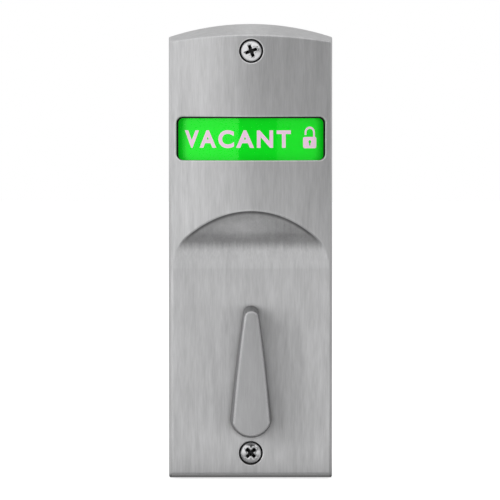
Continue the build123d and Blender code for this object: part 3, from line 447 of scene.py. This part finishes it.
foam = moulded_plastic(
    "black_foam", FOAM_COLOUR, roughness=0.82, cells=FOAM_CELLS, contrast=0.5, depth=0.00003
)
dress(foam, "window_gasket")

# Flag: a black acetal moulding curved like the pane, with a green and a red film stuck on its front.
# The films are smooth and slightly metallic, with a painted glow so that their colour shines through the
# pane.
# Steel screws hold it to the link that lifts it when the turn is turned.
FILM_GREEN = (0.004, 0.88, 0.018, 1.0)
FILM_RED = (0.80, 0.010, 0.010, 1.0)
FILM_PAINTED_GLOW = 0.34
CARRIER_BLACK = (0.022, 0.022, 0.023, 1.0)


def painted_glow_coat(name, colour, glow, roughness, cells, contrast, **fixed):
    """Film or ink with a painted glow in its own colour, and a fine texture."""
    material, tree, shader = bare_material(name, Emission_Strength=glow, **fixed)
    grain = placed(tree, MOULDED_GRAIN, Colour=colour, Roughness=roughness, Cells=cells, Contrast=contrast)
    feed(tree, shader, Base_Color=grain["Colour"], Emission_Color=grain["Colour"])
    feed(tree, shader, Roughness=grain["Roughness"])
    return material


for film_name, dye, label in (
    ("green_film", FILM_GREEN, "vacant_label"),
    ("red_film", FILM_RED, "occupied_label"),
):
    film = painted_glow_coat(
        film_name, dye, FILM_PAINTED_GLOW, roughness=0.10, cells=9000.0, contrast=0.05,
        Metallic=0.25, Specular_IOR_Level=0.0,
    )
    dress(film, label)
carrier = moulded_plastic(
    "black_moulding", CARRIER_BLACK, roughness=0.42, cells=2600.0, contrast=0.25, depth=0.000012
)
dress(carrier, "flag_carrier")

# Printing on the films: a plain state word and a padlock sign, screen-printed in a pale ink.
# The word on the green film faces out at rest, and the one on the red film follows a quarter turn later.
# The ink is a thin even coat that bends round with the film.
INK_PALE = (0.93, 0.62, 0.84, 1.0)
INK_PAINTED_GLOW = 0.36
INK_COAT = 0.000012
INK_LIFT = 0.00003
STRIP = 0.0006
CAP_HEIGHT = 0.0052
WORD_LEFT_ARC = -0.0216
LETTER_BOLDNESS = 0.034
LETTER_SPACING = 1.26
LETTER_EXTRUSION = 0.001
SIGN_ARC = 0.0190
SIGN_DROP = 0.0004
PADLOCK_HALF = 0.0024
PADLOCK_TALL = 0.0035
PADLOCK_CORNER = 0.0006
CORNER_STEPS = 6
KEYHOLE_RADIUS = 0.00052
KEYHOLE_Y = 0.0020
KEYHOLE_START = -60
KEYHOLE_END = 240
KEYHOLE_STEPS = 20
KEYHOLE_FOOT_HALF = 0.00022
KEYHOLE_FOOT_Y = 0.0008
SHACKLE_RADIUS = 0.00155
SHACKLE_HALF = 0.00034
SHACKLE_STEPS = 24
SHUT_RISE = 0.0006
OPEN_RISE = 0.0013
FREE_END_RISE = 0.0006


def add_object(name, data):
    """Object in the scene, made of a mesh, a curve, a lamp or a camera."""
    made = bpy.data.objects.new(name, data)
    bpy.context.scene.collection.objects.link(made)
    return made


def mesh_of(curve):
    """Mesh of a curve or a text, which lies flat in x and y."""
    holder = add_object("drawing", curve)
    bpy.context.view_layer.update()
    mesh = bpy.data.meshes.new_from_object(holder.evaluated_get(bpy.context.evaluated_depsgraph_get()))
    bpy.data.objects.remove(holder)
    return mesh


def word_mesh(word):
    """Mesh of a word from x = 0, whose capitals have the films' cap height."""
    text = bpy.data.curves.new(word, "FONT")
    text.body = word
    text.offset = LETTER_BOLDNESS
    text.space_character = LETTER_SPACING
    text.extrude = LETTER_EXTRUSION
    mesh = mesh_of(text)
    tall = max(v.co.y for v in mesh.vertices)
    left = min(v.co.x for v in mesh.vertices)
    for v in mesh.vertices:
        v.co.x = (v.co.x - left) * CAP_HEIGHT / tall
        v.co.y = v.co.y * CAP_HEIGHT / tall
        v.co.z = v.co.z * INK_COAT / LETTER_EXTRUSION
    return mesh


def arc(x, y, radius, start, end, count):
    """Points along an arc, by its centre, radius and two angles in degrees."""
    angles = [math.radians(start + (end - start) * i / count) for i in range(count + 1)]
    return [(x + radius * math.cos(a), y + radius * math.sin(a)) for a in angles]


def padlock_mesh(is_open):
    """Mesh of a padlock sign: a body with a keyhole, and a shackle whose left leg is free when open."""
    drawing = bpy.data.curves.new("padlock", "CURVE")
    drawing.dimensions = "2D"
    drawing.fill_mode = "BOTH"
    drawing.extrude = INK_COAT
    side, low, high = PADLOCK_HALF - PADLOCK_CORNER, PADLOCK_CORNER, PADLOCK_TALL - PADLOCK_CORNER
    body = []
    for quarter, (x, y) in enumerate(((side, high), (-side, high), (-side, low), (side, low))):
        body += arc(x, y, PADLOCK_CORNER, 90 * quarter, 90 * (quarter + 1), CORNER_STEPS)
    keyhole = arc(0, KEYHOLE_Y, KEYHOLE_RADIUS, KEYHOLE_START, KEYHOLE_END, KEYHOLE_STEPS)
    keyhole += [(-KEYHOLE_FOOT_HALF, KEYHOLE_FOOT_Y), (KEYHOLE_FOOT_HALF, KEYHOLE_FOOT_Y)]
    outer, inner = SHACKLE_RADIUS + SHACKLE_HALF, SHACKLE_RADIUS - SHACKLE_HALF
    bow_y = PADLOCK_TALL + (OPEN_RISE if is_open else SHUT_RISE)
    free_y = PADLOCK_TALL + (FREE_END_RISE if is_open else 0.0)
    shackle = [(outer, PADLOCK_TALL)] + arc(0, bow_y, outer, 0, 180, SHACKLE_STEPS)
    shackle += [(-outer, free_y), (-inner, free_y)]
    shackle += arc(0, bow_y, inner, 180, 0, SHACKLE_STEPS) + [(inner, PADLOCK_TALL)]
    for points in (body, keyhole, shackle):
        spline = drawing.splines.new("POLY")
        spline.points.add(len(points) - 1)
        for point, (x, y) in zip(spline.points, points):
            point.co = (x, y, 0, 1)
        spline.use_cyclic_u = True
    return mesh_of(drawing)


# The ink has a painted glow in its own colour as well.
ink = painted_glow_coat(
    "pale_ink", INK_PALE, INK_PAINTED_GLOW, roughness=0.42, cells=6000.0, contrast=0.06, Metallic=0.0
)


def print_on_film(name, flat, film_node, shift_x, shift_y):
    """Prints a flat shape, moved by the shifts: it is cut in strips and bent round the film's front."""
    low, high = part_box(film_node)
    film_radius = CROWN_AXIS_Y - low.y
    middle_z = (low.z + high.z) / 2
    shape = bmesh.new()
    shape.from_mesh(flat)
    reach = [v.co.x for v in shape.verts]
    for cut in range(int(min(reach) / STRIP) - 1, int(max(reach) / STRIP) + 2):
        everything = shape.verts[:] + shape.edges[:] + shape.faces[:]
        bmesh.ops.bisect_plane(shape, geom=everything, plane_co=(cut * STRIP, 0, 0), plane_no=(1, 0, 0))
    for v in shape.verts:
        angle = (v.co.x + shift_x) / film_radius
        radius = film_radius + INK_LIFT + v.co.z
        height = middle_z + v.co.y + shift_y
        v.co = Vector((radius * math.sin(angle), CROWN_AXIS_Y - radius * math.cos(angle), height))
    bmesh.ops.recalc_face_normals(shape, faces=shape.faces)
    mesh = bpy.data.meshes.new(name)
    shape.to_mesh(mesh)
    shape.free()
    mesh.materials.append(ink)
    printed = add_object(name, mesh)
    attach(printed, "flag")


foot_y = -CAP_HEIGHT / 2
for word, film_node, is_open in (("VACANT", "vacant_label", True), ("IN USE", "occupied_label", False)):
    state = film_node.replace("_label", "")
    print_on_film(state + "_word", word_mesh(word), film_node, WORD_LEFT_ARC, foot_y)
    print_on_film(state + "_padlock", padlock_mesh(is_open), film_node, SIGN_ARC, foot_y - SIGN_DROP)

# Fixing screws: stainless pan heads with a cross recess, polished, with a thin neck and a rolled thread.
# One sits above the window and one below the turn, each in a round counterbore, and both go into the door.
# Their recesses stand as the screwdriver left them, blackened with painted shade.
SCREW_POLISH = (0.78, 0.78, 0.79, 1.0)
PAINTED_RECESS_REACH = 0.003
NECK_R = 0.0015
NECK_END_Y = 0.0005
THREAD_PITCH = 0.000794
THREAD_CREST_R = 0.00175
THREAD_ROOT_R = 0.00132
ROOT_HALF_SHARE = 0.10
FLANK_SHARE = 0.32
START_TAPER = 0.6
END_CHAMFER = 0.0003
ROUND_STEPS = 28
PITCH_STEPS = 8
WELD = 0.000001
SHARP_ANGLE = math.radians(32)
RING_SWING = 3.0
RING_ROUGHNESS = 0.05


def thread_radius(turns, y, end_y):
    """Radius of the thread's surface: crest, flank, root and flank in one pitch, tapered at both ends."""
    phase = (y / THREAD_PITCH - turns) % 1.0
    climb = min(1.0, max(0.0, (abs(phase - 0.5) - ROOT_HALF_SHARE) / FLANK_SHARE))
    radius = THREAD_ROOT_R + (THREAD_CREST_R - THREAD_ROOT_R) * climb
    start_limit = NECK_R + START_TAPER * max(0.0, y - NECK_END_Y)
    end_limit = THREAD_ROOT_R - END_CHAMFER + (end_y - y)
    return min(radius, start_limit, end_limit)


def threaded_shank(axis_z, end_y):
    """Closed mesh of a screw's threaded shank, from its neck to its end."""
    rows = int((end_y - NECK_END_Y) / THREAD_PITCH * PITCH_STEPS)
    shank = bmesh.new()
    rings = []
    for row in range(rows + 1):
        y = NECK_END_Y + (end_y - NECK_END_Y) * row / rows
        ring = []
        for spoke in range(ROUND_STEPS):
            turns = spoke / ROUND_STEPS
            radius = thread_radius(turns, y, end_y)
            angle = 2 * math.pi * turns
            ring.append(shank.verts.new((radius * math.cos(angle), y, axis_z + radius * math.sin(angle))))
        rings.append(ring)
    for near, far in zip(rings, rings[1:]):
        for spoke in range(ROUND_STEPS):
            ahead = (spoke + 1) % ROUND_STEPS
            shank.faces.new((near[spoke], near[ahead], far[ahead], far[spoke]))
    shank.faces.new(rings[0])
    shank.faces.new(rings[-1])
    bmesh.ops.recalc_face_normals(shank, faces=shank.faces)
    return shank


screws_low, screws_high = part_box("mounting_screws")
head_r = (screws_high.x - screws_low.x) / 2
screws = bmesh.new()
screws.from_mesh(parts["mounting_screws"].data)
bmesh.ops.bisect_plane(
    screws, geom=screws.verts[:] + screws.edges[:] + screws.faces[:],
    plane_co=(0, NECK_END_Y / 2, 0), plane_no=(0, 1, 0), clear_outer=True,
)
bmesh.ops.remove_doubles(screws, verts=screws.verts, dist=WELD)
bmesh.ops.holes_fill(screws, edges=[e for e in screws.edges if e.is_boundary])
screws_mesh = bpy.data.meshes.new("fixing_screws")
for axis_z in (screws_low.z + head_r, screws_high.z - head_r):
    shank = threaded_shank(axis_z, screws_high.y)
    shank.to_mesh(screws_mesh)
    screws.from_mesh(screws_mesh)
    shank.free()
screws.to_mesh(screws_mesh)
screws.free()
screws_mesh.polygons.foreach_set("use_smooth", [True] * len(screws_mesh.polygons))
screws_mesh.set_sharp_from_angle(angle=SHARP_ANGLE)
fixing_screws = add_object("fixing_screws", screws_mesh)
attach(fixing_screws, "root")
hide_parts("mounting_screws")


def lathe_marks_group():
    """Fine rings of a turning tool about an axis along y, on faces and on round surfaces alike."""
    tree, given, result = shader_group(
        "lathe_marks",
        [("Colour", "Color", SCREW_POLISH), ("Roughness", "Float", 0.2),
         ("Axis", "Vector", (0.0, 0.0, 0.0)), ("Rings", "Float", 9000.0), ("Contrast", "Float", 0.1)],
        GRAIN_RESULTS,
    )
    local = reckon_vector(tree, "SUBTRACT", on_part(tree), given.outputs["Axis"])
    x, y, z = node(tree, "SeparateXYZ", local).outputs
    along = product(tree, reckon(tree, "ADD", from_axis(tree, x, z), y), given.outputs["Rings"])
    rings = node(tree, "TexNoise", None, along, noise_dimensions="1D")
    feed(tree, rings, Scale=1.0, Detail=2.0)
    marks = rings.outputs[0]
    swing = product(tree, reckon(tree, "SUBTRACT", marks, NOISE_MEAN), RING_SWING)
    hand_out_grain(tree, given, result, swing, rough_from=swing, rough_by=RING_ROUGHNESS, height=marks)
    return tree


LATHE_MARKS = lathe_marks_group()
# Painted shade for the screws' recesses, from their own faces only.
PAINTED_RECESS_SHADE = painted_shade_masks_group("recess_shade", own_faces_only=True, gap_from=0.10, gap_to=0.30)


def worn_metal_with_painted_light(name, group, roll, wear_and_highlight, corner_painted_shade, reach, depth, shade_group=PAINTED_CORNER_SHADE, **values):
    """Metal with a finish that a group gives, with painted highlights on worn edges and painted shade inside
    corners.
    """
    material, tree, shader = bare_material(name, Metallic=1.0)
    face = placed(tree, group, **values)
    edges = placed(tree, EDGE_ROLL_MASK, Radius=roll)["Mask"]
    shade = product(tree, around_one(tree, edges, wear_and_highlight), painted_gap_shade(tree, reach, corner_painted_shade, shade_group))
    feed(tree, shader, Base_Color=tint(tree, face["Colour"], shade), Roughness=face["Roughness"])
    relief(tree, shader, face["Height"], depth)
    return material


def turned_metal(name, colour, roughness, rings, contrast, axis=(0, 0, 0), reach=0.0008,
                 shade_group=PAINTED_CORNER_SHADE):
    """Metal that was turned in a lathe about an axis along y; its edges and inside corners get painted light
    and shade.
    """
    return worn_metal_with_painted_light(
        name, LATHE_MARKS, roll=EDGE_ROLL / 4, wear_and_highlight=0.3, corner_painted_shade=0.4, reach=reach, depth=0.000001,
        shade_group=shade_group,
        Colour=colour, Roughness=roughness, Axis=axis, Rings=rings, Contrast=contrast,
    )


polished_steel = turned_metal(
    "polished_stainless", SCREW_POLISH, roughness=0.20, rings=5200.0, contrast=0.05,
    reach=PAINTED_RECESS_REACH, shade_group=PAINTED_RECESS_SHADE,
)
screws_mesh.materials.append(polished_steel)

# Turn lever: cast stainless as the cover's, brushed along its length, wide over its axis, round at its tip.
# It is pushed over the shaft's spigot and held by a black socket set screw in its underside.
# A painted highlight keeps its rim brighter than the cover, and its face is slightly crowned from side to
# side.
# Its colour is set darker than the cover's steel, which paints shade on its face.
LEVER_SHADED_COLOUR = (0.365, 0.365, 0.37, 1.0)
LEVER_STROKES = (3000.0, 3000.0, 240.0)
# Painted shade darkens its flanks near the cover within this reach.
LEVER_PAINTED_SHADE_REACH = 0.0036
LEVER_ROLL = 0.0012
LEVER_CROWN = 36.0
# A dark grazing tint paints its flanks darker still.
LEVER_FLANK_SHADE_TINT = 0.3
SET_SCREW_BLACK = (0.022, 0.022, 0.025, 1.0)
SET_SCREW_AXIS = (0, -0.0132, 0)


def face_crown_group():
    """Normal of a face that is crowned from side to side, by so much turn for each metre of width."""
    tree, given, result = shader_group(
        "face_crown", [("Normal", "Vector", (0.0, 0.0, 0.0)), ("Turn", "Float", LEVER_CROWN)],
        [("Normal", "Vector")],
    )
    across = node(tree, "SeparateXYZ", on_part(tree)).outputs[0]
    sideways = node(tree, "CombineXYZ", product(tree, across, given.outputs["Turn"])).outputs[0]
    leaned = reckon_vector(tree, "ADD", given.outputs["Normal"], in_world(tree, sideways))
    feed(tree, result, Normal=reckon_vector(tree, "NORMALIZE", leaned))
    return tree


FACE_CROWN = face_crown_group()


def with_crowned_face(tree, normal, shade):
    """Touch of the lever alone: its crowned face."""
    return placed(tree, FACE_CROWN, Normal=normal, Turn=LEVER_CROWN)["Normal"], shade


lever_steel = brushed_steel(
    "satin_stainless_lever", LEVER_SHADED_COLOUR, roughness=0.32, strokes=LEVER_STROKES, contrast=0.10,
    anisotropy=0.75, wear_and_highlight=1.0, corner_painted_shade=1.6, reach=LEVER_PAINTED_SHADE_REACH, roll=LEVER_ROLL, grazing_shade_tint=LEVER_FLANK_SHADE_TINT,
    own_touch=with_crowned_face,
)
dress(lever_steel, "turn_lever")
black_oxide = turned_metal(
    "black_oxide_steel", SET_SCREW_BLACK, roughness=0.35, rings=3000.0, contrast=0.3, axis=SET_SCREW_AXIS
)
dress(black_oxide, "lever_set_screw")

# Shaft and bearings: a turned steel shaft in two flanged brass bushes, and a white plastic washer in front.
# A spring-steel ring keeps it in the front bush, and a bowed washer behind the sector gives it drag.
# All are plain turned or stamped parts, lightly oiled.
MACHINED_STEEL = (0.42, 0.42, 0.43, 1.0)
BRASS = (0.66, 0.45, 0.17, 1.0)
SPRING_STEEL = (0.20, 0.205, 0.22, 1.0)
ACETAL = (0.80, 0.80, 0.76, 1.0)

shaft_steel = turned_metal(
    "machined_steel_shaft", MACHINED_STEEL, roughness=0.26, rings=7000.0, contrast=0.14
)
dress(shaft_steel, "turn_shaft")
brass = turned_metal("turned_brass", BRASS, roughness=0.24, rings=6500.0, contrast=0.12)
dress(brass, "front_bush", "rear_bush")
spring_steel = turned_metal("spring_steel", SPRING_STEEL, roughness=0.3, rings=2400.0, contrast=0.2)
dress(spring_steel, "shaft_retaining_ring", "curved_washer", "idler_clip")
acetal = moulded_plastic(
    "white_acetal", ACETAL, roughness=0.36, cells=1800.0, contrast=0.06, depth=0.000006
)
dress(acetal, "thrust_washer", "idler_gear")

# Gear train: a milled steel sector on the shaft's flats, and a moulded acetal idler on a riveted post.
# The idler meshes with the rack of the flag's link, and two pins stop the sector at the ends of its turn.
# The steel is left bare, with the cutter's fine straight lines.
MILLED_STROKES = (700.0, 700.0, 90.0)

milled_steel = brushed_steel(
    "machined_steel_milled", MACHINED_STEEL, roughness=0.3, strokes=MILLED_STROKES, contrast=0.09,
    anisotropy=0.3,
)
dress(milled_steel, "sector_gear", "idler_post", "stop_pins")

# Tailpiece: a flat steel blade in the shaft's slot, held by a cross pin, which turns the lock in the door.
# It is drawn bar, cropped and chamfered at its end, with the drawing lines along it.
BAR_STROKES = (2400.0, 40.0, 2400.0)

drawn_steel = brushed_steel(
    "machined_steel_drawn", MACHINED_STEEL, roughness=0.3, strokes=BAR_STROKES, contrast=0.12,
    anisotropy=0.4,
)
dress(drawn_steel, "spindle_tailpiece", "tailpiece_pin")

# Back plate, link and rails: mild steel with bright zinc plating, pressed, drilled and countersunk.
# The plate closes the cover's back, and the rails and the rack guide are screwed on to it from behind.
# The plating is bluish, with soft mottling; its edges are rubbed thin and carry a painted highlight.
ZINC = (0.50, 0.52, 0.545, 1.0)
ZINC_YELLOWED = (0.545, 0.535, 0.49, 1.0)
PATCH_EDGES = (0.38, 0.66)
PATCH_ROUGHNESS = 0.16
SPARKLE_CELLS = 1900.0
SPARKLE_SHARE = 0.12
SPARKLE_FLOOR = 0.94


def plating_group():
    """Bright plating with soft patches of two shades and a fine sparkle."""
    tree, given, result = shader_group(
        "plating",
        [("Colour", "Color", ZINC), ("Yellowed", "Color", ZINC_YELLOWED), ("Roughness", "Float", 0.3)],
        GRAIN_RESULTS,
    )
    place = on_part(tree)
    patches = noise(tree, place, scale=160.0, detail=4.0, roughness=0.55)
    sparkle = node(tree, "TexVoronoi", place, None, SPARKLE_CELLS).outputs["Color"]
    share = between(tree, patches, *PATCH_EDGES, kind="LINEAR")
    mottled = mixed_colour(tree, "MIX", given.outputs["Colour"], given.outputs["Yellowed"], share)
    grey = node(tree, "RGBToBW", sparkle).outputs[0]
    lighter = reckon(tree, "MULTIPLY_ADD", grey, SPARKLE_SHARE, SPARKLE_FLOOR)
    rougher = reckon(tree, "MULTIPLY_ADD", patches, PATCH_ROUGHNESS, given.outputs["Roughness"])
    feed(tree, result, Colour=tint(tree, mottled, lighter), Roughness=rougher, Height=patches)
    return tree


zinc = worn_metal_with_painted_light(
    "zinc_plated_steel", plating_group(), roll=EDGE_ROLL / 3, wear_and_highlight=0.25, corner_painted_shade=0.4, reach=PAINTED_SHADE_REACH,
    depth=0.00002, Colour=ZINC, Roughness=0.22,
)
dress(
    zinc, "back_plate", "back_plate_screws", "rail_screws", "link_screws",
    "guide_rail_left", "guide_rail_right", "rack_guide", "rack_link",
)

# Studio: a pale floor that the part stands on, and a white surround.
# Grey cards, curved round the part or flat under it and in front, give metal and pane their reflections.
# The camera doesn't see the cards, and no reflection shows the lamps.
WHITE = (1.0, 1.0, 1.0, 1.0)
FLOOR_HALF = 4.0
FLOOR_GREY = (0.60, 0.60, 0.60, 1.0)
FLOOR_GLOW = 0.70
ONE_FACE = [(0, 1, 2, 3)]
CARD_RADIUS = 0.6
CARD_STEPS = 24
CARD_LIFT = 0.0002
CARD_TOP_Z = 0.28
LOW_CARD_TOP_Z = 0.05
LEFT_CARD_START = -110.0
DARK_CARD_START = -12.0
DARK_CARD_END = 27.0
HALF_CARD_END = 100.0
LAMP_AIM = Vector((0.0, 0.0, 0.05))
SURROUND_LIGHT = 0.60
SURROUND_SHOWN_EXTRA = 0.40

floor_z = cad_low.z


def empty_tree(owner):
    """Node tree of a material or a world, with no nodes yet."""
    owner.use_nodes = True
    owner.node_tree.nodes.clear()
    return owner.node_tree


def stage_object(name, points, faces, material):
    """Mesh that belongs to the studio and not to the part."""
    mesh = bpy.data.meshes.new(name)
    mesh.from_pydata(points, [], faces)
    mesh.materials.append(material)
    made = add_object(name, mesh)
    return made


def level_corners(half, start_y, end_y, z):
    """Corners of a level sheet, by half its width and where it starts and ends along y."""
    return [(-half, start_y, z), (half, start_y, z), (half, end_y, z), (-half, end_y, z)]


floor_material = bpy.data.materials.new("pale_floor")
floor_tree = empty_tree(floor_material)
floor_paint = node(floor_tree, "BsdfDiffuse", FLOOR_GREY)
seen = node(floor_tree, "LightPath").outputs["Is Camera Ray"]
floor_glow = node(floor_tree, "Emission", WHITE, product(floor_tree, seen, FLOOR_GLOW))
floor_sum = node(floor_tree, "AddShader", floor_paint.outputs[0], floor_glow.outputs[0])
node(floor_tree, "OutputMaterial", floor_sum.outputs[0])
stage_object("floor", level_corners(FLOOR_HALF, -FLOOR_HALF, FLOOR_HALF, floor_z), ONE_FACE, floor_material)


def grey_card(name, points, faces, shade):
    """Card of an even shade that only reflections see."""
    paper = bpy.data.materials.new(name)
    tree = empty_tree(paper)
    glow = node(tree, "Emission", (shade, shade, shade, 1.0), 1.0)
    node(tree, "OutputMaterial", glow.outputs[0])
    card = stage_object(name, points, faces, paper)
    card.visible_camera = False
    card.visible_diffuse = False
    card.visible_shadow = False


def upright_card(name, start_azimuth, end_azimuth, low_z, high_z, shade):
    """Curved card that stands round the part, between two azimuths from its front."""
    points = []
    for i in range(CARD_STEPS + 1):
        azimuth = math.radians(start_azimuth + (end_azimuth - start_azimuth) * i / CARD_STEPS)
        x, y = CARD_RADIUS * math.sin(azimuth), -CARD_RADIUS * math.cos(azimuth)
        points += [(x, y, low_z), (x, y, high_z)]
    faces = [(2 * i, 2 * i + 2, 2 * i + 3, 2 * i + 1) for i in range(CARD_STEPS)]
    grey_card(name, points, faces, shade)


def flat_card(name, start_y, end_y, shade):
    """Level card just over the floor, as wide as the upright ones stand apart."""
    grey_card(name, level_corners(CARD_RADIUS, start_y, end_y, floor_z + CARD_LIFT), ONE_FACE, shade)


upright_card("left_card", LEFT_CARD_START, DARK_CARD_START, floor_z, CARD_TOP_Z, shade=0.93)
upright_card("dark_card", DARK_CARD_START, DARK_CARD_END, LOW_CARD_TOP_Z, CARD_TOP_Z, shade=0.09)
upright_card("half_card", DARK_CARD_END, HALF_CARD_END, LOW_CARD_TOP_Z, CARD_TOP_Z, shade=0.47)
upright_card("low_card", DARK_CARD_START, HALF_CARD_END, floor_z, LOW_CARD_TOP_Z, shade=0.84)
upright_card("rear_card", start_azimuth=130.0, end_azimuth=230.0, low_z=0.12, high_z=0.9, shade=0.74)
flat_card("under_card", start_y=0.01, end_y=-0.03, shade=0.35)
flat_card("bright_strip", start_y=-0.065, end_y=-0.58, shade=0.85)


def stand_off(thing, target, azimuth, elevation, distance):
    """Stands a lamp or the camera off from a target and aims it there, by angles from front and level."""
    a, e = math.radians(azimuth), math.radians(elevation)
    away = Vector((math.sin(a) * math.cos(e), -math.cos(a) * math.cos(e), math.sin(e)))
    thing.location = target + away * distance
    thing.rotation_mode = "QUATERNION"
    thing.rotation_quaternion = away.to_track_quat("Z", "Y")


def soft_lamp(name, azimuth, elevation, distance, side, watts):
    """Large soft square lamp aimed at the middle of the part, which shows in no reflection."""
    light = bpy.data.lights.new(name, "AREA")
    light.shape = "RECTANGLE"
    light.size = side
    light.size_y = side
    light.energy = watts
    lamp = add_object(name, light)
    stand_off(lamp, LAMP_AIM, azimuth, elevation, distance)
    lamp.visible_glossy = False
    lamp.visible_transmission = False


soft_lamp("left_softbox", azimuth=-42.0, elevation=12.0, distance=1.6, side=0.7, watts=34.0)
soft_lamp("top_softbox", azimuth=10.0, elevation=72.0, distance=1.5, side=1.2, watts=4.0)

world = bpy.data.worlds.new("white_surround")
bpy.context.scene.world = world
world_tree = empty_tree(world)
ray = node(world_tree, "LightPath").outputs
mirrored = reckon(world_tree, "MAXIMUM", ray["Is Glossy Ray"], ray["Is Transmission Ray"])
shown = reckon(world_tree, "MAXIMUM", ray["Is Camera Ray"], mirrored)
level = reckon(world_tree, "MULTIPLY_ADD", shown, SURROUND_SHOWN_EXTRA, SURROUND_LIGHT)
surround = node(world_tree, "Background", WHITE, level)
node(world_tree, "OutputWorld", surround.outputs[0])
world.cycles.sampling_method = "NONE"

# Camera: a long lens 1.5 m away, a little above the part and a little to its left.
CAMERA_DISTANCE = 1.5
CAMERA_AZIMUTH = -0.7
CAMERA_ELEVATION = 1.8
CAMERA_AIM = Vector((-0.00016, 0.0, 0.0518))
CAMERA_LENS_MM = 347.0
SENSOR_WIDTH_MM = 36.0
NEAREST_SEEN = 0.05
FARTHEST_SEEN = 50.0

camera_data = bpy.data.cameras.new("camera")
camera_data.lens = CAMERA_LENS_MM
camera_data.sensor_width = SENSOR_WIDTH_MM
camera_data.clip_start = NEAREST_SEEN
camera_data.clip_end = FARTHEST_SEEN
camera = add_object("camera", camera_data)
stand_off(camera, CAMERA_AIM, CAMERA_AZIMUTH, CAMERA_ELEVATION, CAMERA_DISTANCE)
bpy.context.scene.camera = camera
bpy.context.scene.view_settings.view_transform = "Standard"
